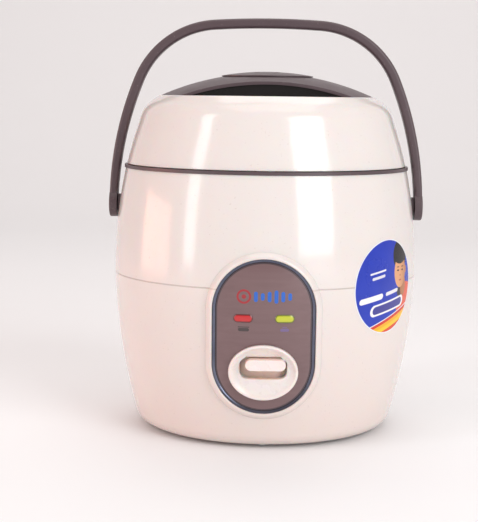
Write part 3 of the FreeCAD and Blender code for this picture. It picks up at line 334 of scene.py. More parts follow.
# ---- lid cover -------------------------------------------------------------------------
# The lid's outer shell, glossy white: tall leaning side, soft shoulder and a slope up to a
# rim. Inside the rim a shallow well holds the dome and the release button.

LAND_RISE = 0.0022
LID_GAP = 0.0004
LID_SETBACK = 0.0016
LID_SIDE = 0.030
LID_LEAN = 0.0086
SIDE_ARC = 0.25
SHOULDER_RUN, SHOULDER_RISE, SHOULDER_ARC = 0.0055, 0.0111, 0.020
SLOPE_RUN, SLOPE_RISE = 0.008, 0.0056
RIM_LIP = 0.0007
RIM_DEPTH = 0.0038
DECK_DEPTH, DECK = 0.0075, 0.002
TUBE_GAP_R = 0.0094
STEM_ROWS = (0.0597, 0.0651)
STEM_HALF = 0.0075
KNUCKLE_R, KNUCKLE_HALF = 0.0055, 0.0156

LID_Z = RING_Z + LAND_RISE + LID_GAP
LID_R = RING_R - LID_SETBACK
SHOULDER = (LID_R - LID_LEAN, LID_Z + LID_SIDE)
SLOPE = (SHOULDER[0] - SHOULDER_RUN, SHOULDER[1] + SHOULDER_RISE)
RIM = (SLOPE[0] - SLOPE_RUN, SLOPE[1] + SLOPE_RISE)
RIM_IN = RIM[0] - RIM_LIP
DECK_Z = RIM[1] - DECK_DEPTH


def eased(points, passes):
    """The same line with its kinks smoothed away, ends kept."""
    for _ in range(passes):
        middle = [tuple((a + 2 * b + c) / 4 for a, b, c in zip(*three))
                  for three in zip(points, points[1:], points[2:])]
        points = [points[0]] + middle + [points[-1]]
    return points


side = arc((LID_R, LID_Z + SEAM_BEVEL), SHOULDER, SIDE_ARC, 24)
shoulder = arc(SHOULDER, SLOPE, SHOULDER_ARC, 10)[1:]
slope = [(SLOPE[0] - SLOPE_RUN * step / 8, SLOPE[1] + SLOPE_RISE * step / 8)
         for step in range(1, 9)]
skin = [(LID_R - SEAM_BEVEL, LID_Z)] + eased(side + shoulder + slope, 8)
well = [(RIM_IN + RIM_LIP / 3, RIM[1] + 0.0001), (RIM_IN, RIM[1] - 0.0003), (RIM_IN, DECK_Z),
        (STEM_ROWS[1], DECK_Z), (STEM_ROWS[0], DECK_Z), (TUBE_GAP_R, DECK_Z)]
under = [(TUBE_GAP_R, DECK_Z - DECK), (STEM_ROWS[0], DECK_Z - DECK),
         (STEM_ROWS[1], DECK_Z - DECK), (RIM_IN + WALL, DECK_Z - DECK),
         (RIM_IN + WALL, RIM[1] - RIM_DEPTH),
         (SLOPE[0] - 0.55 * WALL, SLOPE[1] - 0.75 * WALL)]
under += arc((LID_R - WALL, LID_Z), (SHOULDER[0] - WALL, SHOULDER[1]), SIDE_ARC - WALL, 24)[::-1]
cover = turned(skin + well + under)
deck_faces = [face for face in cover.faces
              if abs(face.calc_center_median().x) < STEM_HALF and face.calc_center_median().y < 0
              and STEM_ROWS[0] < -face.calc_center_median().y / math.cos(0.06) < STEM_ROWS[1]
              and abs(face.normal.z) > 0.9]
bmesh.ops.delete(cover, geom=deck_faces, context="FACES")
bmesh.ops.bridge_loops(cover, edges=[edge for edge in cover.edges if edge.is_boundary])
finished("lid_shell", cover, "lid", WHITE, ["lid_cover"])

pin_low, pin_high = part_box("hinge_pin")
HINGE = (pin_low + pin_high) / 2
knuckle = bmesh.new()
barrel = bmesh.ops.create_cone(knuckle, cap_ends=True, segments=64, radius1=KNUCKLE_R,
                               radius2=KNUCKLE_R, depth=2 * KNUCKLE_HALF)
bmesh.ops.rotate(knuckle, verts=barrel["verts"], cent=(0, 0, 0),
                 matrix=Matrix.Rotation(math.pi / 2, 3, "Y"))
bmesh.ops.translate(knuckle, verts=barrel["verts"], vec=HINGE)
arm = bmesh.ops.create_cube(knuckle, size=1)
arm_depth = HINGE.y - LID_R + WALL
bmesh.ops.scale(knuckle, verts=arm["verts"], vec=(2 * KNUCKLE_HALF, arm_depth, 0.005))
bmesh.ops.translate(knuckle, verts=arm["verts"],
                    vec=(0, LID_R - WALL + arm_depth / 2, LID_Z + 0.0027))
corners = [edge for edge in knuckle.edges if edge.calc_face_angle(0) > math.radians(50)]
bmesh.ops.bevel(knuckle, geom=corners, offset=0.0006, segments=3, profile=0.5,
                affect="EDGES", clamp_overlap=True, material=-1)
finished("lid_knuckle", knuckle, "lid", WHITE, ["lid_cover"])


# ---- dome, steam cap, finger pocket and release button ---------------------------------
# A satin taupe dome fills the lid's well, cut off straight at the front over a black pocket
# where a finger presses the release button. The vented steam cap plugs into its middle.

DOME_RISE = 0.0159
DOME_WALL = 0.002
DOME_FIT = 0.0002
MOUTH_OFFSET = 0.046
VENT_R = 0.0259


def black_plastic():
    """Polished black moulding, with a little lint and fingerprint haze."""
    finish = Finish("black_plastic", {"IOR": 1.45, "Coat Weight": 0.15, "Coat Roughness": 0.05})
    lint = finish.noise(900, 3).over(0.70, 0.04)
    finish.feed("Base Color", finish.tint(lint * 0.3, (0.008, 0.008, 0.009, 1),
                                          (0.09, 0.085, 0.085, 1)))
    finish.feed("Roughness", 0.12 + finish.noise(45, 4) * 0.16)
    finish.relief(finish.noise(300, 2), 0.00003, 0.3)
    return finish.material


BLACK = black_plastic()
DOME_OUT = RIM_IN - DOME_FIT
DOME_ARC = (DOME_OUT ** 2 + DOME_RISE ** 2) / (2 * DOME_RISE)
DOME_BASE = RIM[1] + DOME_RISE - DOME_ARC


def dome_height(radius, sphere):
    """Height of a sphere about the dome's centre at a distance from the axis."""
    return DOME_BASE + math.sqrt(sphere ** 2 - radius ** 2)


bowl = DOME_ARC - DOME_WALL
skirt_in = DOME_OUT - DOME_WALL
dome_profile = [(DOME_OUT, DECK_Z)]
dome_profile += arc((DOME_OUT, RIM[1]), (VENT_R, dome_height(VENT_R, DOME_ARC)), DOME_ARC, 30)
dome_profile += arc((skirt_in, dome_height(skirt_in, bowl)),
                    (VENT_R, dome_height(VENT_R, bowl)), bowl, 30)[::-1]
dome_profile += [(skirt_in, DECK_Z)]
dome = turned(dome_profile)
bmesh.ops.bisect_plane(dome, geom=dome.verts[:] + dome.edges[:] + dome.faces[:], dist=1e-6,
                       plane_co=(0, -MOUTH_OFFSET, 0), plane_no=(0, -1, 0), clear_outer=True)
lip = [edge for edge in dome.edges if edge.is_boundary]
bmesh.ops.edgeloop_fill(dome, edges=lip)
sharp_lip = [edge for edge in dome.edges
             if all(abs(vert.co.y + MOUTH_OFFSET) < 1e-5 for vert in edge.verts)
             and edge.calc_face_angle(0) > math.radians(30)]
bmesh.ops.bevel(dome, geom=sharp_lip, offset=0.0004, segments=3, profile=0.5, affect="EDGES",
                clamp_overlap=True, material=-1)
finished("dome_cover", dome, "lid", TAUPE, ["lid_dome"])
finished("vent_cap", copied("steam_cap", 0.0003), "steam_cap", TAUPE,
         ["steam_cap"], even=True)
finished("pocket_wall", copied("finger_pocket"), "lid", BLACK,
         ["finger_pocket"], even=True)
finished("press_button", copied("release_button", 0.0004), "release_button",
         BLACK, ["release_button"], even=True)


# ---- front panel: bezel, plated trim and printed face ----------------------------------
# A white capsule-shaped bezel stands on the casing. Inside it a dark plated trim frames a
# taupe face, printed behind a clear gloss coat.

PANEL_HEIGHT = 0.0764
BEZEL_HALF, BEZEL_TALL = 0.0372, 0.0546
TRIM_HALF, TRIM_TALL = 0.0330, 0.0508
FACE_HALF, FACE_TALL = 0.0308, 0.0486
FACE_PROUD = 0.0014
AROUND = 192

BEZEL_SECTION = [(0, -0.001), (0, 0.0003), (0.0003, 0.0008), (0.0010, 0.0017),
                 (0.0018, 0.0026), (0.0024, 0.0031), (0.0031, 0.0034), (0.0037, 0.0033),
                 (0.0041, 0.0029), (0.0042, 0.0024), (0.0042, -0.001)]
TRIM_SECTION = [(0, -0.0005), (0, 0.0019), (0.0002, 0.0022), (0.0006, 0.0023),
                (0.0014, 0.0019), (0.0021, 0.0014), (0.0022, 0.0010), (0.0022, -0.0005)]


def outline(half_x, half_z, corner, inset=0.0, count=AROUND):
    """Points (across, up) round a rounded rectangle, from the middle of its right side."""
    half_x, half_z, corner = half_x - inset, half_z - inset, max(corner - inset, 1e-9)
    bend = corner * math.pi / 2
    reach_x, reach_z = half_x - corner, half_z - corner
    legs = [(reach_z, 0)]
    for length in (2 * reach_x, 2 * reach_z, 2 * reach_x, reach_z):
        legs += [(bend, corner), (length, 0)]
    around = sum(length for length, _ in legs)
    points = []
    for index in range(count):
        ahead = around * index / count
        here, heading = complex(half_x, 0), 1j
        for length, radius in legs:
            step = min(ahead, length)
            if radius:
                centre = here + heading * 1j * radius
                swing = cmath.exp(1j * step / radius)
                here = centre + (here - centre) * swing
                heading *= swing
            else:
                here += heading * step
            ahead -= step
            if ahead <= 0:
                break
        points.append((here.real, here.imag))
    return points


def lofted(rings, closed=False):
    """A bmesh skin through rings of (across, up, proud) points, each extruded from the one
    before. A closed loft ends on its first ring, and an open one on rings of no width."""
    bm = bmesh.new()
    row = bmesh.ops.create_circle(bm, cap_ends=False, segments=len(rings[0]),
                                  radius=1)["verts"]
    for vert, point in zip(row, rings[0]):
        vert.co = point
    for ring in rings[1:] + rings[:closed]:
        edges = [bm.edges.get(pair) for pair in zip(row, row[1:] + row[:1])]
        grown = set(bmesh.ops.extrude_edge_only(bm, edges=edges)["geom"])
        row = [next(edge.other_vert(vert) for edge in vert.link_edges
                    if edge.other_vert(vert) in grown) for vert in row]
        for vert, point in zip(row, ring):
            vert.co = point
    bmesh.ops.remove_doubles(bm, verts=bm.verts, dist=1e-6)
    return bm


def arc_radius(height, first, last, radius):
    """Radius at a height on the arc from first to last."""
    centre = arc_centre(first, last, radius)
    return centre.x + math.sqrt(radius ** 2 - (height - centre.y) ** 2)


def casing_radius(height):
    """The casing's outer radius at a height."""
    if height < SEAM_Z:
        return arc_radius(height, HEEL, (BELLY_R, SEAM_Z), LOWER_ARC)
    return arc_radius(height, (BELLY_R, SEAM_Z), (TOP_R, RING_Z), UPPER_ARC)


def wrapped(bm, middle, azimuth=0.0):
    """Bend a flat piece on to the casing's front, then turn it round to its azimuth."""
    for vert in bm.verts:
        across, up, proud = vert.co
        radius = casing_radius(middle + up) + proud
        vert.co = (across, -math.sqrt(radius ** 2 - across ** 2), middle + up)
    bmesh.ops.rotate(bm, verts=bm.verts, cent=(0, 0, 0),
                     matrix=Matrix.Rotation(azimuth, 3, "Z"))
    return bm


def capsule_frame(half_x, half_z, section):
    """A capsule ring on the panel from its section (inset, proud)."""
    rings = [[(x, z, proud) for x, z in outline(half_x, half_z, half_x, inset)]
             for inset, proud in section]
    return wrapped(lofted(rings, closed=True), PANEL_HEIGHT)


def dark_chrome():
    """Dark nickel plating, streaked along the rim and hazed by wiping."""
    finish = Finish("dark_chrome", {"Metallic": 1.0})
    haze = finish.noise(70, 4)
    finish.feed("Base Color", finish.tint(haze, (0.06, 0.07, 0.11, 1), (0.20, 0.21, 0.27, 1)))
    finish.feed("Roughness", 0.10 + finish.noise(240, 4) * 0.16)
    finish.relief(finish.noise(500, 2), 0.00002, 0.3)
    return finish.material


def capsule_mark(across, up, x, z, half, radius, soft=0.00012):
    """1 inside a level capsule about (x, z) and 0 outside."""
    away = abs(across - x) - half
    beyond = away.maths("MAXIMUM", away, 0.0)
    rise = up - z
    square = beyond * beyond + rise * rise
    return square.maths("SQRT", square).under(radius, soft)


MARK_HEIGHT = 0.1030
RING_AT = -0.0128
BARS = (0.0021, 0.0012, 0.0021, 0.0030, 0.0021, 0.0012)
BARS_FROM, BAR_STEP, BAR_RADIUS = -0.0052, 0.0043, 0.0012


def panel_print():
    """Taupe face with a brushed undertone, under a clear coat. The prints are plain marks: a
    red ring and blue bars above the lamps, a pot and a cup below them."""
    finish = Finish("panel_print", {"Coat Weight": 0.6, "Coat Roughness": 0.05})
    across, _, up = finish.apart()
    brushed = finish.noise(320, 3, finish.stretched((0.06, 1, 1)))
    cloud = finish.noise(30, 3)
    body = finish.tint(brushed * 0.6 + cloud * 0.4, (0.125, 0.070, 0.073, 1),
                       (0.205, 0.122, 0.126, 1))
    rim = capsule_mark(up, across, PANEL_HEIGHT, 0, FACE_TALL - FACE_HALF, FACE_HALF - 0.0012)
    body = finish.tint(rim, (0.055, 0.035, 0.042, 1), body)
    for step, half in enumerate(BARS):
        bar = capsule_mark(up, across, MARK_HEIGHT, BARS_FROM + BAR_STEP * step, half,
                           BAR_RADIUS)
        body = finish.tint(bar, body, (0.008, 0.11, 0.52, 1))
    ring = capsule_mark(across, up, RING_AT, MARK_HEIGHT, 0.0, 0.0046)
    hole = capsule_mark(across, up, RING_AT, MARK_HEIGHT, 0.0, 0.0033)
    dot = capsule_mark(across, up, RING_AT, MARK_HEIGHT, 0.0, 0.0014)
    body = finish.tint(ring * (1 - hole) + dot, body, (0.33, 0.012, 0.02, 1))
    pot = capsule_mark(across, up, -0.0128, 0.0817, 0.0024, 0.0011)
    lid = capsule_mark(across, up, -0.0128, 0.0834, 0.0034, 0.0003)
    body = finish.tint((pot + lid) * 0.9, body, (0.030, 0.022, 0.022, 1))
    cup = capsule_mark(across, up, 0.0132, 0.0817, 0.0018, 0.0010)
    steam = capsule_mark(across, up, 0.0132, 0.0835, 0.0012, 0.00025)
    body = finish.tint((cup + steam) * 0.55, body, (0.15, 0.11, 0.36, 1))
    finish.feed("Base Color", body)
    finish.feed("Roughness", 0.16 + finish.noise(50, 4) * 0.12)
    finish.relief(finish.noise(180, 2), 0.00004, 0.3)
    return finish.material


finished("bezel_ring", capsule_frame(BEZEL_HALF, BEZEL_TALL, BEZEL_SECTION), "cooker",
         WHITE, ["panel_bezel"], crease=50)
finished("trim_ring", capsule_frame(TRIM_HALF, TRIM_TALL, TRIM_SECTION), "cooker",
         dark_chrome(), ["panel_trim"], crease=40)
insets = [0.0015 * step for step in range(1, 20)] + [0.0299, FACE_HALF]
face_section = [(inset, 0.0) for inset in insets[::-1]] + [(0, 0.0), (0, 0.0011)]
face_section += [(0.0003, FACE_PROUD)] + [(inset, FACE_PROUD) for inset in insets]
face_rings = [[(x, z, proud) for x, z in outline(FACE_HALF, FACE_TALL, FACE_HALF, inset)]
              for inset, proud in face_section]
face_plate = wrapped(lofted(face_rings), PANEL_HEIGHT)
opened(face_plate, -1, (0, SLOT_HEIGHT), SLOT_WINDOW)
finished("face_plate", face_plate, "cooker", panel_print(), ["panel_face"])


# ---- lenses and lamps ------------------------------------------------------------------
# Two tinted lenses, pressed through the face from behind: red for cooking, yellow-green for
# keeping warm. Small neon lamps on a board light them.

LENS_HEIGHT = 0.089
LENS_OFFSET = 0.0132
LENS_HALF, LENS_RADIUS = 0.00625, 0.0027
LENS_SECTION = [(LENS_RADIUS, -WALL), (0.0002, -WALL), (0, 0.0012), (0, 0.0016),
                (0.0003, 0.0019), (0.0008, 0.0021),
                (0.0015, 0.0022), (0.0022, 0.00225), (LENS_RADIUS, 0.00227)]


def lens_plastic(name, deep, bright):
    """Tinted plastic: a bright core behind fine moulded ribs, darker at the edge."""
    finish = Finish(name, {"Coat Weight": 0.8, "Coat Roughness": 0.03, "IOR": 1.5})
    across, _, up = finish.apart()
    core = capsule_mark(abs(across), up, LENS_OFFSET, LENS_HEIGHT, LENS_HALF - LENS_RADIUS,
                        LENS_RADIUS - 0.0008, 0.0007)
    ribs = finish.node("TexWave", {"bands_direction": "X"}, {"Vector": finish.place,
                                                             "Scale": 500.0}, 1)
    finish.feed("Base Color", finish.tint(core * (0.75 + ribs * 0.25), deep, bright))
    finish.feed("Roughness", 0.12 + finish.noise(200, 3) * 0.1)
    finish.relief(ribs, 0.00003, 0.3)
    return finish.material


def lens(name, node, across, material):
    rings = [[(across + x, z, proud)
              for x, z in outline(LENS_HALF, LENS_RADIUS, LENS_RADIUS, inset, 96)]
             for inset, proud in LENS_SECTION]
    finished(name, wrapped(lofted(rings), LENS_HEIGHT), "cooker", material, [node])


def glowless_glass():
    """Thin lamp glass, faintly orange from the gas and the resistor behind it."""
    finish = Finish("lamp_glass", {"Transmission Weight": 0.7, "IOR": 1.45})
    finish.feed("Base Color", finish.tint(finish.noise(300, 2), (0.9, 0.55, 0.35, 1),
                                          (0.95, 0.8, 0.7, 1)))
    finish.feed("Roughness", 0.05 + finish.noise(500, 2) * 0.08)
    return finish.material


def circuit_board():
    """Green lacquered board with copper tracks showing through."""
    finish = Finish("circuit_board", {"Coat Weight": 0.3})
    tracks = finish.node("TexBrick", {}, {"Vector": finish.place, "Scale": 180.0}, 1)
    finish.feed("Base Color", finish.tint(tracks, (0.02, 0.13, 0.05, 1), (0.09, 0.22, 0.08, 1)))
    finish.feed("Roughness", 0.35 + finish.noise(300, 3) * 0.2)
    return finish.material


lens("lens_cook", "cook_lens", -LENS_OFFSET,
     lens_plastic("lens_red", (0.10, 0.003, 0.005, 1), (0.58, 0.006, 0.010, 1)))
lens("lens_warm", "warm_lens", LENS_OFFSET,
     lens_plastic("lens_yellow_green", (0.13, 0.15, 0.015, 1), (0.56, 0.60, 0.02, 1)))
painted(glowless_glass(), "indicator_lamps")
painted(circuit_board(), "lamp_board")


# ---- lever dish and cook lever ---------------------------------------------------------
# A white oval dish slopes down to the rounded slot of the cook lever. The lever's key stands
# in the slot, and a shutter behind it keeps the slot closed while it travels.

DISH_HEIGHT = 0.0538
DISH_HALF, DISH_TALL = 0.0223, 0.0183
SLOT_HALF, SLOT_TALL, SLOT_CORNER = 0.01505, 0.00715, 0.00445
SLOT_RISE = SLOT_HEIGHT - DISH_HEIGHT
RIM_ROWS = [(0.0007, 0.0006), (0, 0.0012), (0, 0.0040), (0.0002, 0.0046), (0.0007, 0.0050),
            (0.0012, 0.0050), (0.0017, 0.0048), (0.0021, 0.0044), (0.0027, 0.0038),
            (0.0037, 0.0032), (0.0050, 0.0028)]
SLOT_ROWS = [(-0.0008, 0.0024), (-0.0003, 0.0023), (0, 0.0019), (0, -0.0034),
             (-0.0008, -0.0034), (-0.0008, 0.0006)]


KEY_AT = (0.0014, 0.0598)
KEY_CAPSULE = (0.0092, 0.0034)


def key_plastic():
    """Glossy white moulding, a little warmer than the casing, hazed where a thumb rubs, with
    painted orange shade in the lever slot round the key.
    """
    finish = Finish("key_plastic", {"Coat Weight": 0.3, "Coat Roughness": 0.06, "IOR": 1.49,
                                    "Subsurface Weight": 0.35, "Subsurface Scale": 0.004})
    body = finish.tint(finish.noise(40, 3), (0.80, 0.730, 0.700, 1), (0.84, 0.785, 0.76, 1))
    grime = finish.noise(420, 4).over(0.66, 0.08)
    body = finish.tint(grime * 0.15, body, (0.55, 0.42, 0.36, 1))
    across, _, up = finish.apart()
    # painted shade: the slot walls round the key are tinted orange in place of the shade inside
    # the slot
    slot = capsule_mark(across, up, 0, SLOT_HEIGHT, SLOT_HALF - SLOT_TALL, SLOT_TALL + 0.0004,
                        0.0006)
    key = capsule_mark(across, up, *KEY_AT, *KEY_CAPSULE, 0.0006)
    finish.feed("Base Color", finish.tint(slot * (1 - key) * 0.6, body, (0.80, 0.50, 0.38, 1)))
    finish.feed("Roughness", 0.2 + finish.noise(90, 4) * 0.15)
    finish.relief(finish.noise(400, 2), 0.00004, 0.3)
    return finish.material


def oval(inset):
    """Points (across, up) round the dish, from its right side."""
    turns = [math.tau * index / AROUND for index in range(AROUND)]
    return [((DISH_HALF - inset) * math.cos(a), (DISH_TALL - inset) * math.sin(a))
            for a in turns]


def slot_line(inset):
    """Points round the slot, in the dish's own coordinates."""
    return [(x, z + SLOT_RISE) for x, z in outline(SLOT_HALF, SLOT_TALL, SLOT_CORNER, inset)]


def between(first, second, share):
    """Points part of the way from one line to another."""
    return [tuple(a + (b - a) * share for a, b in zip(p, q)) for p, q in zip(first, second)]


KEY_WHITE = key_plastic()
dish_rings = [[(x, z, proud) for x, z in oval(inset)] for inset, proud in RIM_ROWS]
floor_edge, slot_edge = oval(RIM_ROWS[-1][0]), slot_line(SLOT_ROWS[0][0])
for share in (0.25, 0.5, 0.75):
    dish_rings.append([(x, z, 0.0026) for x, z in between(floor_edge, slot_edge, share)])
dish_rings += [[(x, z, proud) for x, z in slot_line(inset)] for inset, proud in SLOT_ROWS]
dish = wrapped(lofted(dish_rings, closed=True), DISH_HEIGHT)
finished("lever_dish", dish, "cooker", KEY_WHITE, ["switch_bezel"], crease=60)
finished("lever_key", copied("cook_lever", 0.0006), "cook_lever", KEY_WHITE,
         ["cook_lever"], crease=40, even=True)


# ---- round label -----------------------------------------------------------------------
# A printed paper label with a gloss film, stuck over the seam to the right of the panel: a
# plain figure on royal blue, white bars for its lines of text, and warm bands below.

LABEL_HEIGHT = 0.1055
LABEL_AZIMUTH = math.radians(51)
LABEL_R = 0.031
LABEL_PROUD = 0.0002
BAND_TILT = 0.284


def spot(u, v, x, z, half_u, half_v, soft=0.06):
    """1 inside an ellipse and 0 outside."""
    first, second = (u - x) * (1 / half_u), (v - z) * (1 / half_v)
    square = first * first + second * second
    return square.under(1.0, soft)


def label_print():
    """Offset print: flat inks, a generic figure, and a slight cloud in the blue."""
    finish = Finish("label_print", {"IOR": 1.4, "Coat Weight": 0.2, "Coat Roughness": 0.08})
    place = finish.stretched((1, 1, 1), (0, 0, -LABEL_AZIMUTH), (0, 0, -LABEL_HEIGHT))
    u, _, v = finish.apart(place)
    blue = finish.tint(finish.noise(60, 3), (0.010, 0.030, 0.36, 1), (0.018, 0.050, 0.50, 1))
    shirt = spot(u, v, 0.0250, -0.0140, 0.0130, 0.0150)
    body = finish.tint(shirt, blue, (0.72, 0.09, 0.035, 1))
    body = finish.tint(spot(u, v, 0.0165, -0.0045, 0.0050, 0.0040), body,
                       (0.035, 0.03, 0.04, 1))
    neck = spot(u, v, 0.0198, -0.0012, 0.0040, 0.0070)
    body = finish.tint(neck, body, (0.42, 0.16, 0.06, 1))
    body = finish.tint(spot(u, v, 0.0150, 0.0195, 0.0092, 0.0105), body,
                       (0.010, 0.009, 0.010, 1))
    ear = spot(u, v, 0.0232, 0.0095, 0.0012, 0.0026)
    head = spot(u, v, 0.0152, 0.0088, 0.0079, 0.0108)
    shade = finish.tint((u - 0.0152).under(0.0035, 0.010), (0.46, 0.19, 0.075, 1),
                        (0.72, 0.36, 0.18, 1))
    body = finish.tint(head.maths("MAXIMUM", head, ear), body, shade)
    hairline = spot(u, v, 0.0148, 0.0200, 0.0088, 0.0062)
    body = finish.tint(hairline, body, (0.010, 0.009, 0.010, 1))
    for side in (-1, 1):
        eye_u = 0.0152 + side * 0.0031
        body = finish.tint(spot(u, v, eye_u, 0.0096, 0.0013, 0.0006, 0.3), body,
                           (0.03, 0.018, 0.014, 1))
        body = finish.tint(spot(u, v, eye_u, 0.0118, 0.0017, 0.0004, 0.4) * 0.8, body,
                           (0.03, 0.018, 0.014, 1))
    body = finish.tint(spot(u, v, 0.0152, 0.0062, 0.0011, 0.0007, 0.5) * 0.5, body,
                       (0.33, 0.12, 0.05, 1))
    body = finish.tint(spot(u, v, 0.0152, 0.0030, 0.0020, 0.0006, 0.4) * 0.8, body,
                       (0.40, 0.08, 0.06, 1))
    white = (0.86, 0.85, 0.86, 1)
    tilted = v - u * 0.14
    for x, z, half, radius, share in ((-0.0105, 0.0115, 0.0072, 0.0006, 0.9),
                                      (-0.0100, 0.0080, 0.0055, 0.0009, 0.8),
                                      (-0.0160, -0.0050, 0.0088, 0.0019, 1.0),
                                      (0.0050, -0.0048, 0.0060, 0.0012, 0.9),
                                      (0.0020, -0.0135, 0.0150, 0.0038, 1.0)):
        body = finish.tint(capsule_mark(u, tilted, x, z, half, radius, 0.0003) * share, body,
                           white)
    body = finish.tint(capsule_mark(u, tilted, 0.0020, -0.0135, 0.0140, 0.0026, 0.0003), body,
                       (0.05, 0.05, 0.28, 1))
    sloped = v - u * BAND_TILT
    for edge, ink in ((-0.0212, white), (-0.0218, (0.62, 0.04, 0.02, 1)),
                      (-0.0240, (0.90, 0.42, 0.015, 1)), (-0.0262, (0.93, 0.55, 0.02, 1)),
                      (-0.0290, (0.66, 0.07, 0.02, 1))):
        body = finish.tint(sloped.under(edge, 0.0003), body, ink)
    rim = spot(u, v, 0, 0, LABEL_R - 0.0006, LABEL_R - 0.0006, 0.02)
    finish.feed("Base Color", finish.tint(rim, (0.80, 0.82, 0.88, 1), body))
    finish.feed("Roughness", 0.2 + finish.noise(70, 4) * 0.12)
    finish.relief(finish.noise(260, 3), 0.00003, 0.3)
    return finish.material


label_steps = [LABEL_R * step / 12 for step in range(13)]
label_section = [(inset, 0.00002) for inset in label_steps[::-1]]
label_section += [(inset, LABEL_PROUD) for inset in label_steps]
label_rings = [[(x, z, proud) for x, z in outline(LABEL_R, LABEL_R, LABEL_R, inset, 96)]
               for inset, proud in label_section]
label = wrapped(lofted(label_rings), LABEL_HEIGHT, LABEL_AZIMUTH)
finished("label_disc", label, "cooker", label_print(), ["round_label"])


# ---- inlet, base and feet --------------------------------------------------------------
# A black inlet with two brass pins sits low at the back. Below, a vented grey plate is held
# by three screws, and the cooker stands on four rubber feet.

def black_texture():
    """Black nylon with a fine etched texture."""
    finish = Finish("black_texture", {"IOR": 1.5})
    finish.feed("Base Color", finish.tint(finish.noise(700, 3), (0.012, 0.012, 0.012, 1),
                                          (0.035, 0.034, 0.033, 1)))
    finish.feed("Roughness", 0.42 + finish.noise(200, 3) * 0.2)
    finish.relief(finish.noise(1200, 2), 0.00006, 0.6)
    return finish.material


def brass_plate():
    """Brass pins, drawn along their length, with a tarnished tip."""
    finish = Finish("brass_plate", {"Metallic": 1.0})
    finish.feed("Base Color", finish.tint(finish.noise(260, 3), (0.55, 0.36, 0.12, 1),
                                          (0.80, 0.60, 0.28, 1)))
    finish.feed("Roughness", 0.2 + finish.noise(600, 2, finish.stretched((1, 0.1, 1))) * 0.2)
    return finish.material


def grey_plastic():
    """Plain grey-white moulding, lightly textured."""
    finish = Finish("grey_plastic", {"IOR": 1.48})
    finish.feed("Base Color", finish.tint(finish.noise(20, 4), (0.52, 0.50, 0.48, 1),
                                          (0.64, 0.62, 0.60, 1)))
    finish.feed("Roughness", 0.38 + finish.noise(150, 3) * 0.15)
    finish.relief(finish.noise(900, 2), 0.00005, 0.4)
    return finish.material


def foot_rubber():
    """Black rubber, dusty and worn grey where it stands on the table."""
    finish = Finish("foot_rubber", {"IOR": 1.5})
    height = finish.apart()[2]
    worn = height.under(0.0008, 0.0012) * finish.noise(300, 4)
    finish.feed("Base Color", finish.tint(worn, (0.022, 0.021, 0.020, 1), (0.16, 0.15, 0.14, 1)))
    finish.feed("Roughness", 0.65 + finish.noise(120, 3) * 0.2)
    finish.relief(finish.noise(800, 3), 0.00008, 0.5)
    return finish.material


GREY = grey_plastic()
finished("inlet_body", copied("inlet_housing", 0.0003), "cooker",
         black_texture(), ["inlet_housing"], even=True)
painted(brass_plate(), "inlet_pins")
painted(GREY, "base_plate", "lid_liner", "switch_bracket", "microswitch")
painted(foot_rubber(), "base_feet")
painted(STEEL, "base_screws", "lid_screws", "latch_pin", "latch_spring", "lever_spring",
        "switch_arm", "arm_pin", "thermostat_spring", "chamber_legs", "thermal_fuse",
        "thermostat_sleeve", "latch_hook", "magnet_carrier")


# ---- pot, chamber, plate and seals -----------------------------------------------------
# The aluminium pot is coated inside and bright outside. Under it lie a cast heating plate and
# a spun reflector chamber, and the lid closes on a white silicone ring.

POT_FLANGE_IN = 0.0776


def pot_coating():
    """Speckled dark non-stick inside, bright spun aluminium outside."""
    finish = Finish("pot_coating", {"IOR": 1.45})
    x, y, z = finish.apart()
    across = x * x + y * y
    reach = across.maths("SQRT", across)
    pot_low, pot_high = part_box("inner_pot")
    outside = reach.over(POT_FLANGE_IN, 0.0004) * z.under(pot_high.z - 0.0008, 0.0004)
    outside = outside.maths("MAXIMUM", outside, z.under(pot_low.z + 0.0006, 0.0004))
    speck = finish.noise(1400, 2).over(0.66, 0.03)
    coat = finish.tint(speck, (0.045, 0.045, 0.05, 1), (0.30, 0.30, 0.31, 1))
    turned_metal = finish.noise(260, 3, finish.stretched((0.02, 0.02, 1)))
    metal = finish.tint(turned_metal, (0.62, 0.62, 0.63, 1), (0.84, 0.84, 0.85, 1))
    finish.feed("Base Color", finish.tint(outside, coat, metal))
    finish.feed("Metallic", outside)
    finish.feed("Roughness", 0.38 - outside * 0.12 + turned_metal * 0.1)
    return finish.material


def bare_metal(name, dark, bright, rough, rings):
    """Aluminium with the marks of turning or spinning about the cooker's axis."""
    finish = Finish(name, {"Metallic": 1.0})
    x, y, _ = finish.apart()
    across = x * x + y * y
    reach = across.maths("SQRT", across)
    marks = finish.node("TexNoise", {"noise_dimensions": "1D"}, {"W": reach, "Scale": rings,
                                                                 "Detail": 3.0})
    finish.feed("Base Color", finish.tint(marks, dark, bright))
    finish.feed("Roughness", rough + finish.noise(90, 4) * 0.15)
    finish.relief(marks, 0.00003, 0.5)
    return finish.material


def white_silicone():
    """Milky silicone with a slight bloom."""
    finish = Finish("white_silicone", {"IOR": 1.41})
    finish.feed("Base Color", finish.tint(finish.noise(60, 3), (0.66, 0.64, 0.60, 1),
                                          (0.78, 0.77, 0.74, 1)))
    finish.feed("Roughness", 0.45 + finish.noise(240, 3) * 0.2)
    finish.relief(finish.noise(700, 2), 0.00005, 0.4)
    return finish.material


painted(pot_coating(), "inner_pot")
painted(bare_metal("spun_aluminium", (0.60, 0.60, 0.62, 1), (0.86, 0.86, 0.87, 1), 0.22, 900),
        "inner_chamber", "inner_lid_plate", "thermostat_sensor")
painted(bare_metal("cast_aluminium", (0.48, 0.48, 0.50, 1), (0.70, 0.70, 0.71, 1), 0.34, 500),
        "heating_plate")
painted(white_silicone(), "lid_gasket", "steam_tube", "keep_warm_band")


# ---- floor, light and camera -----------------------------------------------------------
# A pale sweep lit by soft windows, one broad on the right and one narrow on the left, with
# weaker light from above and behind and a warm bounce low on the left.

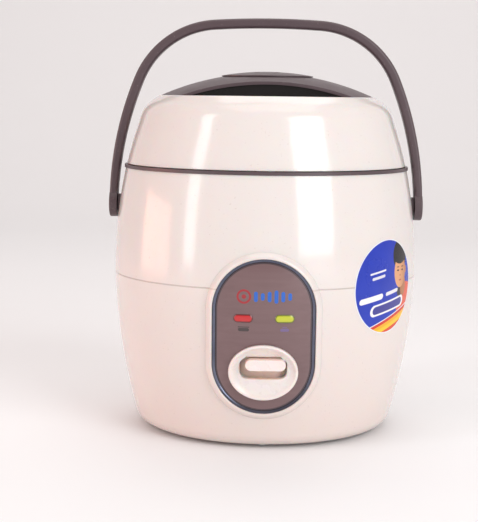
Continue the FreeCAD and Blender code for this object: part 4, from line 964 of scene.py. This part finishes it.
def soft_light(name, azimuth, elevation, distance, width, tall, power, colour):
    """A rectangular area light that faces the middle of the cooker."""
    data = bpy.data.lights.new(name, "AREA")
    data.shape = "RECTANGLE"
    data.size, data.size_y = width, tall
    data.energy = power
    data.color = colour
    lamp = bpy.data.objects.new(name, data)
    bpy.context.scene.collection.objects.link(lamp)
    turn, lift = math.radians(azimuth), math.radians(elevation)
    way = Vector((math.sin(turn) * math.cos(lift), -math.cos(turn) * math.cos(lift),
                  math.sin(lift)))
    lamp.location = Vector((0, 0, 0.15)) + way * distance
    lamp.rotation_mode = "QUATERNION"
    lamp.rotation_quaternion = (-way).to_track_quat("-Z", "Y")


FLOOR_HALF, FLOOR_FRONT, FLOOR_BEND, WALL_TOP = 8, -14, 1.4, 4
BEND_STEPS = 16

floor_mesh = bmesh.new()
strip = [floor_mesh.verts.new((-FLOOR_HALF, y, 0)) for y in (FLOOR_FRONT, FLOOR_BEND)]
for step in range(1, BEND_STEPS + 1):
    bend = math.pi / 2 * step / BEND_STEPS
    strip.append(floor_mesh.verts.new((-FLOOR_HALF, FLOOR_BEND + math.sin(bend),
                                       1 - math.cos(bend))))
strip.append(floor_mesh.verts.new((-FLOOR_HALF, FLOOR_BEND + 1, WALL_TOP)))
strip_edges = [floor_mesh.edges.new(pair) for pair in zip(strip, strip[1:])]
sweep = bmesh.ops.extrude_edge_only(floor_mesh, edges=strip_edges)
bmesh.ops.translate(floor_mesh, vec=(2 * FLOOR_HALF, 0, 0),
                    verts=[item for item in sweep["geom"] if isinstance(item, bmesh.types.BMVert)])
for face in floor_mesh.faces:
    face.smooth = True
floor_data = bpy.data.meshes.new("floor")
floor_mesh.to_mesh(floor_data)
floor_mesh.free()
pale = Finish("pale_floor", {"Roughness": 0.6})
pale.feed("Base Color", pale.tint(pale.noise(3, 2), (0.88, 0.90, 0.91, 1), (0.90, 0.92, 0.93, 1)))
floor_data.materials.append(pale.material)
floor = bpy.data.objects.new("floor", floor_data)
bpy.context.scene.collection.objects.link(floor)

world = bpy.data.worlds.new("studio")
world.use_nodes = True
world.node_tree.nodes["Background"].inputs["Color"].default_value = (1.0, 0.87, 0.84, 1)
world.node_tree.nodes["Background"].inputs["Strength"].default_value = 0.56
bpy.context.scene.world = world
bpy.context.scene.view_settings.view_transform = "Standard"
soft_light("window_right", 38, 20, 2.2, 1.1, 1.7, 26, (0.96, 0.98, 1.0))
soft_light("window_left", -57, 16, 2.0, 0.34, 1.9, 9, (0.97, 0.99, 1.0))
soft_light("top", 10, 80, 1.8, 1.6, 1.2, 7, (1.0, 0.98, 0.96))
soft_light("back", 175, 62, 2.4, 1.6, 1.2, 10, (1.0, 0.98, 0.97))
soft_light("bounce", -88, -2, 1.2, 0.6, 0.4, 3.5, (1.0, 0.40, 0.30))

CAMERA_AWAY, CAMERA_HEIGHT = 0.975, 0.228
LENS = 96.5
PITCH, YAW, ROLL = math.radians(6.72), math.radians(1.06), math.radians(0.7)
camera_data = bpy.data.cameras.new("camera")
camera_data.lens = LENS
camera_data.sensor_width = 36
camera = bpy.data.objects.new("camera", camera_data)
bpy.context.scene.collection.objects.link(camera)
camera.matrix_world = (Matrix.Translation((0, -CAMERA_AWAY, CAMERA_HEIGHT))
                       @ Matrix.Rotation(YAW, 4, "Z")
                       @ Matrix.Rotation(math.pi / 2 - PITCH, 4, "X")
                       @ Matrix.Rotation(ROLL, 4, "Z"))
bpy.context.scene.camera = camera
